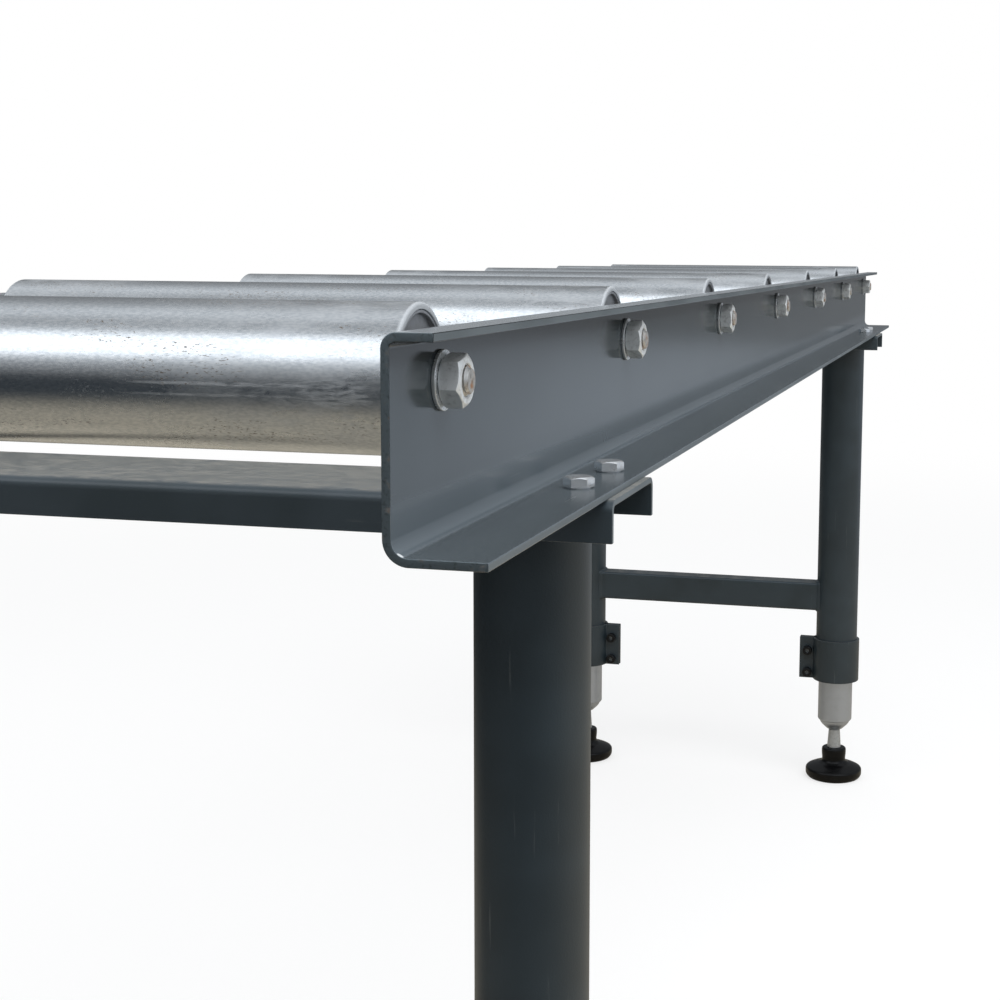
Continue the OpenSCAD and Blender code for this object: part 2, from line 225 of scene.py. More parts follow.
def chamfered_hexagon(
    flats: float, height: float, face_share: float = NUT_FACE, both_ends: bool = True,
) -> BMesh:
    """A hexagon bar, chamfered by 30 degrees as nuts and bolt heads are, with one corner on +X.

    Args:
        flats: The distance across its flats.
        height: Its length along Z, from zero up.
        face_share: The diameter of the flat end face, as a share of the flats.
        both_ends: Whether the lower end is chamfered too.

    Returns:
        The solid hexagon.
    """
    bm = bmesh.new()
    corner_on_x = Matrix.Rotation(math.radians(30), 4, "Z")
    bmesh.ops.create_circle(bm, cap_ends=True, radius=flats / math.sqrt(3), segments=6, matrix=corner_on_x)
    raised = bmesh.ops.extrude_face_region(bm, geom=bm.faces[:])["geom"]
    bmesh.ops.translate(bm, verts=verts_of(raised), vec=(0, 0, height))
    bmesh.ops.recalc_face_normals(bm, faces=bm.faces)
    radius, slope, cuts = face_share * flats / 2, math.tan(math.radians(30)), 36
    ends = [(1, height), (-1, 0.0)] if both_ends else [(1, height)]
    for facing, level in ends:
        for cut in range(cuts):
            turn = math.tau * (cut + 0.5) / cuts
            out = Vector((math.cos(turn), math.sin(turn), 0))
            found = bmesh.ops.bisect_plane(
                bm, geom=bm.verts[:] + bm.edges[:] + bm.faces[:], dist=1e-5,
                plane_co=out * radius + Z * level, plane_no=out * slope + Z * facing, clear_outer=True,
            )
            if rim := edges_of(found["geom_cut"]):
                bmesh.ops.edgeloop_fill(bm, edges=rim)
    bmesh.ops.recalc_face_normals(bm, faces=bm.faces)
    return bm


def hexagon_nut(flats: float, height: float, bore: float, lead: float = 0.8) -> BMesh:
    """A chamfered nut with a countersunk bore.

    Args:
        flats: The distance across its flats.
        height: Its length along Z.
        bore: The diameter of its bore.
        lead: How far the countersink widens the bore.

    Returns:
        The nut, with its edges slightly rounded.
    """
    bm = chamfered_hexagon(flats, height)
    flat_ring = NUT_FACE * flats / 2 - bore / 2 - lead
    for thickness, depth in ((flat_ring, 0.0), (lead, -lead)):
        bmesh.ops.inset_region(
            bm, faces=end_faces(bm), thickness=thickness, depth=depth, use_even_offset=True,
        )
        bm.normal_update()
    bmesh.ops.delete(bm, geom=end_faces(bm), context="FACES")
    bmesh.ops.bridge_loops(bm, edges=[edge for edge in bm.edges if edge.is_boundary])
    bmesh.ops.recalc_face_normals(bm, faces=bm.faces)
    return break_edges(bm, **FORGED)


def end_faces(bm: BMesh) -> list[BMFace]:
    """The flat faces across the Z axis that have their middle on it."""
    flat = [face for face in bm.faces if abs(face.normal.z) > 0.999]
    return [face for face in flat if face.calc_center_median().xy.length < 0.01]


def threaded(major: float, pitch: float, low: float, high: float, per_turn: int = 24) -> BMesh:
    """A bar with a screw thread, chamfered at its upper end.

    Args:
        major: The diameter over the thread's crests.
        pitch: The rise of one turn.
        low: Where the bar starts on Z.
        high: Where it ends.
        per_turn: The faces of one turn.

    Returns:
        The closed bar.
    """
    crest, root = major / 2, major / 2 - THREAD_DEPTH * pitch
    tooth = zip((root, crest, crest, root, root), THREAD_RISES)
    one_turn = outline([(radius, low - pitch + rise * pitch, 0) for radius, rise in tooth], False)
    bmesh.ops.spin(
        one_turn, geom=one_turn.verts[:] + one_turn.edges[:], cent=(0, 0, 0), axis=Z,
        dvec=(0, 0, pitch / per_turn), angle=math.tau, steps=per_turn, use_merge=False,
    )
    turns = math.ceil((high - low) / pitch) + 2
    bm = copies(one_turn, [Matrix.Translation(Z * pitch * turn) for turn in range(turns)])
    bmesh.ops.remove_doubles(bm, verts=bm.verts, dist=1e-3)
    for level, facing in ((low, -1), (high, 1)):
        found = bmesh.ops.bisect_plane(
            bm, geom=bm.verts[:] + bm.edges[:] + bm.faces[:], dist=1e-4,
            plane_co=(0, 0, level), plane_no=(0, 0, facing), clear_outer=True,
        )
        bmesh.ops.edgeloop_fill(bm, edges=edges_of(found["geom_cut"]))
    for vert in bm.verts:
        limit = root - THREAD_CHAMFER * pitch + (high - vert.co.z)
        if vert.co.xy.length > limit:
            vert.co.xy *= limit / vert.co.xy.length
    bmesh.ops.recalc_face_normals(bm, faces=bm.faces)
    return bm


def moved(bm: BMesh, place: Matrix) -> BMesh:
    """The same mesh, brought to its place."""
    bmesh.ops.transform(bm, matrix=place, verts=bm.verts)
    return bm


def copies(pattern: BMesh, places: Iterable[Matrix]) -> BMesh:
    """One mesh that holds a copy of a pattern at each place.

    Args:
        pattern: The mesh that is repeated. It is used up.
        places: Where each copy goes.

    Returns:
        The joined mesh.
    """
    whole, mesh = bmesh.new(), bpy.data.meshes.new("pattern")
    pattern.to_mesh(mesh)
    pattern.free()
    for place in places:
        copy = mesh.copy()
        copy.transform(place)
        whole.from_mesh(copy)
        bpy.data.meshes.remove(copy)
    bpy.data.meshes.remove(mesh)
    return whole


def joined(*parts: BMesh) -> BMesh:
    """One mesh that holds several, which are used up.

    Args:
        parts: The meshes.

    Returns:
        The joined mesh.
    """
    whole = bmesh.new()
    for part in parts:
        mesh = bpy.data.meshes.new("part")
        part.to_mesh(mesh)
        part.free()
        whole.from_mesh(mesh)
        bpy.data.meshes.remove(mesh)
    return whole


def outwards(side: Side) -> Matrix:
    """The turn that points +Z out of this side of the table."""
    return Matrix.Rotation(math.radians(-90 * side.value), 4, "X")


class FoldedStrip:
    """A strip of sheet metal, run out and bent over a former as on a press brake."""

    def __init__(self, start: Vector, heading: Vector, fold: Vector, thickness: float, width: float) -> None:
        """Cuts the strip's first edge.

        Args:
            start: The middle of the first edge, at half thickness.
            heading: The way that the strip runs.
            fold: The axis that it is bent about, and that its width lies along.
            thickness: The sheet's thickness.
            width: The strip's width.
        """
        self.bm = bmesh.new()
        self.place, self.heading, self.fold = start.copy(), heading.copy(), fold.copy()
        through, across = fold.cross(heading) * thickness / 2, fold * width / 2
        corners = (-across - through, across - through, across + through, -across + through)
        self.tip = self.bm.faces.new([self.bm.verts.new(start + corner) for corner in corners])

    def straight(self, length: float) -> "FoldedStrip":
        """Runs the strip straight on for a length.

        Args:
            length: How far, in millimetres.

        Returns:
            The strip itself.
        """
        new = bmesh.ops.extrude_face_region(self.bm, geom=[self.tip])["geom"]
        self.tip = faces_of(new)[0]
        bmesh.ops.translate(self.bm, verts=self.tip.verts, vec=self.heading * length)
        self.place += self.heading * length
        return self

    def bend(self, degrees: float, radius: float, steps: int) -> "FoldedStrip":
        """Bends the strip.

        Args:
            degrees: The turn about the fold's axis.
            radius: The radius at half thickness.
            steps: The faces along the bend.

        Returns:
            The strip itself.
        """
        sign = math.copysign(1, degrees)
        centre = self.place + self.fold.cross(self.heading) * radius * sign
        spun = bmesh.ops.spin(
            self.bm, geom=[self.tip], cent=centre, axis=self.fold * sign, angle=math.radians(abs(degrees)),
            steps=steps, use_merge=False,
        )
        self.tip = faces_of(spun["geom_last"])[0]
        turn = Matrix.Rotation(math.radians(degrees), 3, self.fold)
        self.place = centre + turn @ (self.place - centre)
        self.heading = turn @ self.heading
        return self

    def finished(self, edge_round: float) -> BMesh:
        """The strip as one clean shell, with its sheared edges slightly rounded.

        Args:
            edge_round: How far the rounding reaches.

        Returns:
            The mesh.
        """
        inside = [face for face in self.bm.faces if all(len(edge.link_faces) > 2 for edge in face.edges)]
        bmesh.ops.delete(self.bm, geom=inside, context="FACES_ONLY")
        bmesh.ops.recalc_face_normals(self.bm, faces=self.bm.faces)
        return break_edges(self.bm, edge_round, 60)


def linear(colour: str) -> Tone:
    """Turns an sRGB colour such as #7a5238 into the linear values that a shader takes."""
    parts = [int(colour[at:at + 2], 16) / 255 for at in (1, 3, 5)]
    return (*(p / 12.92 if p <= 0.04045 else ((p + 0.055) / 1.055) ** 2.4 for p in parts), 1.0)


def add_node(
    tree: Tree, kind: str, inputs: dict | None = None, out: int | str = 0, **settings: str | bool,
) -> Socket | None:
    """Adds a shader node, sets it up and links it.

    Args:
        tree: The tree that gets the node.
        kind: The node's type, without its ShaderNode prefix.
        inputs: A value or a socket for each input that isn't left as it is.
        out: The output that is wanted.
        settings: The node's own settings.

    Returns:
        That output, or None where the node has none.
    """
    node = tree.nodes.new("ShaderNode" + kind)
    for name, value in settings.items():
        setattr(node, name, value)
    for name, value in (inputs or {}).items():
        if isinstance(value, Socket):
            tree.links.new(value, node.inputs[name])
        else:
            node.inputs[name].default_value = value
    return node.outputs[out] if len(node.outputs) else None


# A mix takes its share at 0 and its colours at 6 and 7. A smooth step takes its value at 0, where it starts
# and ends at 1 and 2, and its height at 4
COLOURS = {"out": 2, "data_type": "RGBA"}
STEP = {"interpolation_type": "SMOOTHSTEP"}


@dataclass
class Surface:
    """The surface of one material, on which a finish lays its layers.

    Attributes:
        tree: The material's tree.
        place: The coordinates, in metres.
        colour: The colour so far.
        rough: The roughness so far.
        metal: The share of bare metal so far.
        others: The other inputs that the surface shader gets.
    """

    tree: Tree
    place: Socket
    colour: Socket | Tone
    rough: Socket | float
    metal: Socket | float
    others: dict = field(default_factory=dict)

    @cached_property
    def up(self) -> Socket:
        """The height of the surface's normal, which is 1 where it lies flat."""
        normal = add_node(self.tree, "TexCoord", out="Normal")
        return add_node(self.tree, "SeparateXYZ", {0: normal}, out="Z")

    def patches(
        self, size: Size, edge: Edge | None = None, share: float | Socket = 1.0,
        detail: float = 2.0, shift: float = 0.0,
    ) -> Socket:
        """Cloudy noise in patches of a real size.

        Args:
            size: The size of a patch along X, Y and Z, in millimetres.
            edge: The levels of the noise at which a patch begins and is whole, or None for the noise itself.
            share: How much a whole patch covers, as a number or as the mask that it lies within.
            detail: How many finer layers the noise has.
            shift: Moves the noise, so that two layers don't coincide.

        Returns:
            A value from nothing to the share, or the noise, which is mostly near a half.
        """
        scale = [1 / (MM * length) for length in size]
        at = add_node(self.tree, "Mapping", {"Vector": self.place, "Scale": scale, "Location": (shift,) * 3})
        clouds = add_node(
            self.tree, "TexNoise", {"Vector": at, "Scale": 1.0, "Detail": detail, "Roughness": 0.55},
        )
        if not edge:
            return clouds
        return add_node(self.tree, "MapRange", {0: clouds, 1: edge[0], 2: edge[1], 4: share}, **STEP)

    def cover(self, where: Socket, colour: str, rough: float = 0.0, metal: float = 0.0) -> None:
        """Lays a layer over what is there.

        Args:
            where: How much of the layer lies on each spot.
            colour: Its colour.
            rough: What it adds to the roughness.
            metal: What it adds to the share of bare metal.
        """
        tree, more = self.tree, {"operation": "MULTIPLY_ADD"}
        self.colour = add_node(tree, "Mix", {0: where, 6: self.colour, 7: linear(colour)}, **COLOURS)
        if rough:
            self.rough = add_node(tree, "Math", {0: where, 1: rough, 2: self.rough}, **more)
        if metal:
            self.metal = add_node(tree, "Math", {0: where, 1: metal, 2: self.metal}, use_clamp=True, **more)


class Facing(Enum):
    """The surfaces that a mark shows on.

    The value is the height of the normal where the mark begins, and where it is whole.
    """

    ANY = (1.2, 1.1)
    LYING = (0.8, 0.98)
    STANDING = (0.7, 0.3)
    NOT_QUITE_FLAT = (0.995, 0.93)


@dataclass(frozen=True)
class Mark:
    """A soft-edged patch on a finish, in the shape of an ellipsoid.

    Attributes:
        centre: Its middle in millimetres.
        reach: Its half sizes in millimetres.
        share: How much of it covers what is below.
        facing: The surfaces that it shows on.
    """

    centre: Size
    reach: Size
    share: float = 1.0
    facing: Facing = Facing.ANY

    def mask(self, surface: Surface) -> Socket:
        """How much of the mark lies on each spot.

        Args:
            surface: The surface that it is on.

        Returns:
            A share from nothing to the mark's own.
        """
        tree, (begins, whole) = surface.tree, self.facing.value
        centre, reach = Vector(self.centre) * MM, Vector(self.reach) * MM
        off = add_node(tree, "VectorMath", {0: surface.place, 1: centre}, operation="SUBTRACT")
        off = add_node(tree, "VectorMath", {0: off, 1: reach}, operation="DIVIDE")
        far = add_node(tree, "VectorMath", {0: off}, out="Value", operation="LENGTH")
        near = add_node(tree, "MapRange", {0: far, 1: 1.0, 2: 0.45, 4: self.share}, **STEP)
        return add_node(tree, "MapRange", {0: surface.up, 1: begins, 2: whole, 4: near}, **STEP)


@dataclass(frozen=True)
class Finish:
    """A surface as it is made and as it wears. Each finish is one material.

    Attributes:
        name: The material's name.
        colour: The clean surface's colour.
        roughness: The clean surface's roughness.
        metal: How much of the clean surface is bare metal.
        grain_mm: The size of its grain along X, Y and Z.
        grain_height_mm: How deep the grain is.
        grain_detail: How many finer layers the grain has.
        grain_shift: Moves the grain, so that it doesn't follow another layer.
    """

    name: str
    colour: str = "#808080"
    roughness: float = 0.4
    metal: float = 0.0
    grain_mm: Size = (1.0, 1.0, 1.0)
    grain_height_mm: float = 0.01
    grain_detail: float = 1.0
    grain_shift: float = 0.0

    def material(self) -> bpy.types.Material:
        """The material, made when it is first asked for.

        Returns:
            The same material each time.
        """
        if found := bpy.data.materials.get(self.name):
            return found
        material = bpy.data.materials.new(self.name)
        material.use_nodes = True
        tree = material.node_tree
        tree.nodes.clear()
        place = add_node(tree, "TexCoord", out="Object")
        surface = Surface(tree, place, linear(self.colour), self.roughness, self.metal)
        self.dress(surface)
        grain = surface.patches(self.grain_mm, detail=self.grain_detail, shift=self.grain_shift)
        depth = {"Height": grain, "Strength": 1.0, "Distance": self.grain_height_mm * MM}
        inputs = {
            "Base Color": surface.colour, "Metallic": surface.metal, "Roughness": surface.rough,
            "Normal": add_node(tree, "Bump", depth),
        }
        shader = add_node(tree, "BsdfPrincipled", inputs | surface.others)
        add_node(tree, "OutputMaterial", {"Surface": shader})
        return material

    def dress(self, surface: Surface) -> None:
        """Lays this finish's layers on a surface that has its clean colour."""
        raise NotImplementedError


@dataclass(frozen=True)
class PowderCoat(Finish):
    """Polyester powder coat, sprayed and baked: an even dark film with a faint orange peel and a soft gloss.

    Dust dims what faces up, and handling leaves pale rubs along the sheet.
    """

    colour: str = "#252f35"
    roughness: float = 0.3
    grain_mm: Size = (1.6, 1.6, 1.6)
    grain_height_mm: float = 0.012
    cloud: str = "#2c373e"
    rub: str = "#6d7272"
    rub_size: Size = (70.0, 3.0, 3.0)
    dust: str = "#84817a"
    dust_share: float = 0.35
    dust_size: Size = (60.0, 16.0, 16.0)
    sheen: float = 0.0
    marks: tuple[tuple[Mark, str], ...] = ()

    def dress(self, surface: Surface) -> None:
        """Lays clouds, rubs, dust and marks.

        Args:
            surface: The surface, in its clean colour.
        """
        surface.cover(surface.patches((90, 60, 60), (0.35, 0.7)), self.cloud)
        rubs = surface.patches(self.rub_size, (0.66, 0.8), 0.45, 3.0, 3.7)
        surface.cover(rubs, self.rub, rough=0.25)
        begins, whole = Facing.LYING.value
        dust = {0: surface.up, 1: begins, 2: whole, 4: self.dust_share}
        lying = add_node(surface.tree, "MapRange", dust, **STEP)
        dusty = surface.patches(self.dust_size, (0.2, 0.85), lying, 2.0, 9.1)
        surface.cover(dusty, self.dust, rough=0.3)
        for mark, colour in self.marks:
            surface.cover(mark.mask(surface), colour)
        surface.others = {
            "Sheen Weight": self.sheen, "Sheen Roughness": 0.4, "Sheen Tint": linear("#f1efe9"),
        }


@dataclass(frozen=True)
class GalvanisedSteel(Finish):
    """Galvanised steel tube: bright and softly grained, so that what it mirrors has speckled borders.

    Short rust specks lie along the tube, and near its ends white oxide and dried water marks dull it.
    Its grain is half a millimetre, drawn at one so that it shows.
    """

    colour: str = "#dcdedf"
    roughness: float = 0.25
    metal: float = 1.0
    grain_mm: Size = (1.0, 2.4, 1.0)
    grain_height_mm: float = 0.015
    grain_shift: float = 6.6
    spangle: str = "#c3c7ca"
    speck: str = "#544637"
    speck_share: float = 0.9
    oxide: str = "#b8bdc2"
    oxide_share: float = 0.3
    oxide_mm: Edge = (50.0, 180.0)
    dot_share: float = 0.15
    film: Edge = (0.515, 0.53)
    film_share: float = 0.08
    rim_level: float = 0.52
    rim_width: float = 0.007
    rim_share: float = 0.22
    face_mm: Edge = (186.8, 188.6)
    face_share: float = 0.85
    smears: tuple[Mark, ...] = ()

    def dress(self, surface: Surface) -> None:
        """Lays the spangle, the oxide and the specks.

        Args:
            surface: The surface, in its clean colour.
        """
        tree = surface.tree
        surface.cover(surface.patches((0.9, 2.2, 0.9), (0.3, 0.7), detail=3.0), self.spangle)
        polish = surface.patches((14, 45, 14), detail=5.0, shift=1.1)
        surface.rough = add_node(
            tree, "Math", {0: polish, 1: 0.1, 2: self.roughness - 0.05}, operation="MULTIPLY_ADD",
        )
        surface.cover(self.oxidised(surface), self.oxide, rough=0.4, metal=-0.8)
        zones = surface.patches((10, 55, 10), (0.5, 0.64), self.speck_share, 3.0, 8.8)
        surface.cover(surface.patches((0.6, 2.0, 0.6), (0.59, 0.67), zones, 2.0, 5.1), self.speck, metal=-0.8)

    def oxidised(self, surface: Surface) -> Socket:
        """Where the zinc is dulled: by oxide, fine dots, dried water, its cut faces and its smears.

        Args:
            surface: The surface of the tube.

        Returns:
            How much it is dulled on each spot.
        """
        tree = surface.tree
        along = add_node(tree, "SeparateXYZ", {0: surface.place}, out="Y")
        along = add_node(tree, "Math", {0: along}, operation="ABSOLUTE")
        start, whole = (length * MM for length in self.oxide_mm)
        near_end = add_node(tree, "MapRange", {0: along, 1: start, 2: whole}, **STEP)
        bloom = surface.patches((12, 30, 12), (0.35, 0.72), self.oxide_share, 6.0, 2.3)
        oxide = add_node(tree, "Math", {0: bloom, 1: near_end}, operation="MULTIPLY")
        dusting = surface.patches((16, 60, 16), (0.48, 0.66), self.dot_share, 3.0, 7.2)
        dots = surface.patches((0.9, 1.6, 0.9), (0.58, 0.72), dusting, 1.0, 3.3)
        oxide = add_node(tree, "Math", {0: oxide, 1: dots}, operation="MAXIMUM")
        # Water that dries leaves a faint film with a thin pale line round it
        water = surface.patches((24, 190, 24), shift=11.7)
        start, whole = self.film
        film = add_node(tree, "MapRange", {0: water, 1: start, 2: whole, 4: self.film_share}, **STEP)
        rim = add_node(tree, "Math", {0: water, 1: self.rim_level}, operation="SUBTRACT")
        rim = add_node(tree, "Math", {0: rim}, operation="ABSOLUTE")
        rim = add_node(tree, "MapRange", {0: rim, 1: self.rim_width, 2: 0.0, 4: self.rim_share}, **STEP)
        dried = add_node(tree, "Math", {0: film, 1: rim}, operation="MAXIMUM")
        oxide = add_node(tree, "Math", {0: dried, 1: near_end, 2: oxide}, operation="MULTIPLY_ADD")
        start, whole = (length * MM for length in self.face_mm)
        face = add_node(tree, "MapRange", {0: along, 1: start, 2: whole, 4: self.face_share}, **STEP)
        oxide = add_node(tree, "Math", {0: oxide, 1: face}, operation="MAXIMUM")
        wiped = surface.patches((1.4, 7.0, 1.4), (0.3, 0.6), 1.0, 4.0, 6.1)
        for mark in self.smears:
            smear = add_node(tree, "Math", {0: mark.mask(surface), 1: wiped}, operation="MULTIPLY")
            oxide = add_node(tree, "Math", {0: oxide, 1: smear}, operation="MAXIMUM")
        return oxide


@dataclass(frozen=True)
class ZincPlate(Finish):
    """Electroplated zinc: a thin metal film, bright when new and dull grey where it has been handled.

    Grime gathers in small blotches, and rust starts in pin holes of the film.
    """

    colour: str = "#c9cccd"
    roughness: float = 0.3
    metal: float = 1.0
    grain_mm: Size = (0.8, 0.8, 0.8)
    grain_height_mm: float = 0.02
    grain_detail: float = 2.0
    grain_shift: float = 7.7
    grime: str = "#5d5a55"
    grime_share: float = 0.4
    blotch_mm: float = 4.0
    rust: str = "#6e4a31"
    rust_share: float = 0.3

    def dress(self, surface: Surface) -> None:
        """Lays grime and pin holes of rust.

        Args:
            surface: The surface, in its clean colour.
        """
        grime = surface.patches((self.blotch_mm,) * 3, (0.45, 0.75), self.grime_share, 4.0)
        surface.cover(grime, self.grime, rough=0.35, metal=-0.5)
        rust = surface.patches((1.4, 1.4, 1.4), (0.68, 0.8), self.rust_share, 3.0, 4.4)
        surface.cover(rust, self.rust, metal=-0.9)


@dataclass(frozen=True)
class RustySteel(Finish):
    """Bare steel, sawn or cropped and left open: dark grey metal under a thin brown bloom of rust."""

    colour: str = "#8f8c86"
    roughness: float = 0.45
    metal: float = 0.95
    grain_mm: Size = (0.6, 0.6, 0.6)
    grain_height_mm: float = 0.05
    grain_detail: float = 3.0
    grain_shift: float = 2.2
    rust: str = "#7a4a2c"
    rust_from: float = 0.4
    dirt: str = "#3a3632"

    def dress(self, surface: Surface) -> None:
        """Lays rust and dirt.

        Args:
            surface: The surface, in its clean colour.
        """
        rust = surface.patches((5, 5, 5), (self.rust_from, self.rust_from + 0.25), detail=5.0)
        surface.cover(rust, self.rust, rough=0.3, metal=-0.85)
        surface.cover(surface.patches((2, 2, 2), (0.5, 0.75), 0.6, 4.0, 3.1), self.dirt)


@dataclass(frozen=True)
class BlackOxide(Finish):
    """Blackened high tensile screws: dark, slightly oily steel with brighter wear on the corners."""

    colour: str = "#1d1e20"
    roughness: float = 0.38
    metal: float = 0.75
    grain_mm: Size = (0.5, 0.5, 0.5)
    wear: str = "#4a4b4d"

    def dress(self, surface: Surface) -> None:
        """Lays the wear, which polishes the film."""
        wear = surface.patches((2.5, 2.5, 2.5), (0.55, 0.8), 0.6, 4.0)
        surface.cover(wear, self.wear, rough=-0.12)


@dataclass(frozen=True)
class MouldedNylon(Finish):
    """Injection moulded black nylon: glossy where the mould was polished, with scuffs and a little dust."""

    colour: str = "#060607"
    roughness: float = 0.3
    grain_mm: Size = (0.7, 0.7, 0.7)
    grain_height_mm: float = 0.008
    grain_shift: float = 1.9
    scuff: str = "#101011"
    dust: str = "#4e4a43"
    dust_share: float = 0.12
    dust_below_mm: float = 14.0

    def dress(self, surface: Surface) -> None:
        """Lays scuffs, and dust near the floor.

        Args:
            surface: The surface, in its clean colour.
        """
        tree = surface.tree
        surface.cover(surface.patches((9, 9, 2), (0.55, 0.78), 0.7, 5.0), self.scuff, rough=0.2)
        height = add_node(tree, "SeparateXYZ", {0: surface.place}, out="Z")
        low = add_node(tree, "MapRange", {0: height, 1: self.dust_below_mm * MM, 2: 0.0, 4: self.dust_share})
        surface.cover(surface.patches((6, 6, 3), (0.35, 0.7), low, 4.0, 5.5), self.dust, rough=0.8)
        surface.others = {"Specular IOR Level": 0.2}


# Farther than the table reaches
ALL_ALONG = 1e5

# Dust on the top flange, a painted shadow under it, a painted highlight along the lower bend
# and a bead of dirt at its cut end
RAIL_PAINT = PowderCoat(
    "rail_powder_coat", colour="#333c41", cloud="#394247", roughness=0.16, dust="#858a8e", dust_share=0.3,
    dust_size=(1.6, 1.2, 1.2), grain_mm=(2.2, 2.2, 2.2), grain_height_mm=0.006,
    marks=(
        (Mark((0, 0, 726), (ALL_ALONG, ALL_ALONG, 1.6), 0.8, Facing.LYING), "#8d9296"),
        # Painted shadow: a near-black band on the web just under the top flange, all along the rail
        (Mark((0, 0, 721.5), (ALL_ALONG, ALL_ALONG, 11), 0.7, Facing.STANDING), "#080a0b"),
        # Painted highlight: a pale band on the rounded lower bend, all along the rail
        (Mark((0, 0, 650), (ALL_ALONG, ALL_ALONG, 17), 0.3, Facing.NOT_QUITE_FLAT), "#8b96a0"),
        (Mark((-999.4, -200.4, 646.4), (1.7, 1.7, 1.7)), "#d5dade"),
    ),
)
LEG_PAINT = PowderCoat(
    "trestle_powder_coat", roughness=0.42, grain_mm=(1.1, 1.1, 1.1), grain_height_mm=0.06,
    rub_size=(3.0, 3.0, 60.0),
)
CHANNEL_PAINT = PowderCoat(
    "channel_powder_coat", colour="#333d43", cloud="#3b454c", roughness=0.34, dust_share=0.75,
    dust_size=(4.0, 9.0, 4.0), rub_size=(4.0, 60.0, 4.0), sheen=0.5,
)
SHEARED_EDGE = PowderCoat(
    "coated_sheared_edge", colour="#4d565b", cloud="#5f686d", roughness=0.4, dust_share=0.0,
    grain_mm=(1.2, 1.2, 1.2), grain_height_mm=0.05, rub_size=(9.0, 2.0, 2.0),
)
CUT_EDGE = RustySteel(
    "cropped_rail_end", colour="#788286", rust="#6f5948", dirt="#4b5052", rust_from=0.55,
)
# The first roller has a smear of dried water at its right end, with a run below it and two streaks beside it
ROLLER_ZINC = GalvanisedSteel(
    "galvanised_roller_tube",
    smears=(
        Mark((-975, -166, 700.5), (14, 22, 8), 0.42),
        Mark((-975, -145, 701.5), (14, 50, 6), 0.2),
        Mark((-975, -130, 703.8), (14, 62, 1.1), 0.4),
        Mark((-975, -125, 699.4), (14, 56, 0.9), 0.35),
        Mark((-970, -170, 689.5), (12, 5, 12), 0.26),
    ),
)
CAP_ZINC = ZincPlate("pressed_cap_zinc", colour="#a9acb1", roughness=0.42, metal=0.6, grime_share=0.3)
AXLE_STEEL = RustySteel(
    "cropped_axle_steel", colour="#d6d4d0", rust="#93694a", dirt="#6f6860", rust_from=0.47,
)
NUT_ZINC = ZincPlate(
    "dull_nut_zinc", colour="#e8ecee", roughness=0.36, metal=0.4, grime="#3f4446", grime_share=0.42,
    blotch_mm=3.2, rust_share=0.35, grain_height_mm=0.05,
)
WASHER_ZINC = ZincPlate("bright_washer_zinc", colour="#e3e6e8", roughness=0.25, metal=0.6, grime_share=0.2)
BOLT_ZINC = ZincPlate(
    "bright_bolt_zinc", colour="#e8eaec", roughness=0.18, metal=0.8, grime_share=0.25, blotch_mm=2.6,
    rust_share=0.1,
)
TUBE_ZINC = ZincPlate(
    "satin_tube_zinc", colour="#b2b8c2", roughness=0.36, metal=0.9, grime_share=0.1, blotch_mm=14.0,
    rust_share=0.1,
)
SPINDLE_ZINC = ZincPlate("rolled_spindle_zinc", colour="#b2b6ba", roughness=0.38, metal=0.75, grime_share=0.3)
BEARING_STEEL = ZincPlate("ground_bearing_steel", colour="#b9babb", roughness=0.2, grime_share=0.3)
SCREW_BLACK = BlackOxide("black_oxide_screws")
# The floor of each hexagon socket: steel lighter than the black screw, a painted highlight, with some grime
# on it
SOCKET_FLOOR_HIGHLIGHT = ZincPlate("worn_socket_steel", colour="#6b7072", roughness=0.5, metal=0.3, grime_share=0.5)
PAD_NYLON = MouldedNylon("moulded_pad_nylon")


def stand(name: str, data: bpy.types.ID) -> bpy.types.Object:
    """Makes an object of a mesh, a camera or a light.

    Args:
        name: The object's name.
        data: What it shows.

    Returns:
        The object, in the scene.
    """
    thing = bpy.data.objects.new(name, data)
    bpy.context.scene.collection.objects.link(thing)
    return thing


def make_piece(
    name: str, bm: BMesh, finishes: Sequence[Finish], node: str, body: str = "frame",
) -> None:
    """Makes an object of a finished mesh, hangs it on its body and hides the frame's node that it stands for.

    Args:
        name: The piece's name.
        bm: Its mesh in millimetres, which is used up.
        finishes: Its materials, in the order of the mesh's material numbers.
        node: The frame's node that it stands for.
        body: The body that it moves with.
    """
    bmesh.ops.scale(bm, vec=(MM, MM, MM), verts=bm.verts)
    mesh = bpy.data.meshes.new(name)
    bm.to_mesh(mesh)
    bm.free()
    for finish in finishes:
        mesh.materials.append(finish.material())
    mesh.shade_smooth()
    mesh.set_sharp_from_angle(angle=math.radians(SHARP_DEGREES))
    piece = stand(name, mesh)
    piece.modifiers.new("even_shading", "WEIGHTED_NORMAL").keep_sharp = True
    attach(piece, body)
    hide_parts(node)
    log.info("%s: %d faces on %s", name, len(mesh.polygons), body)


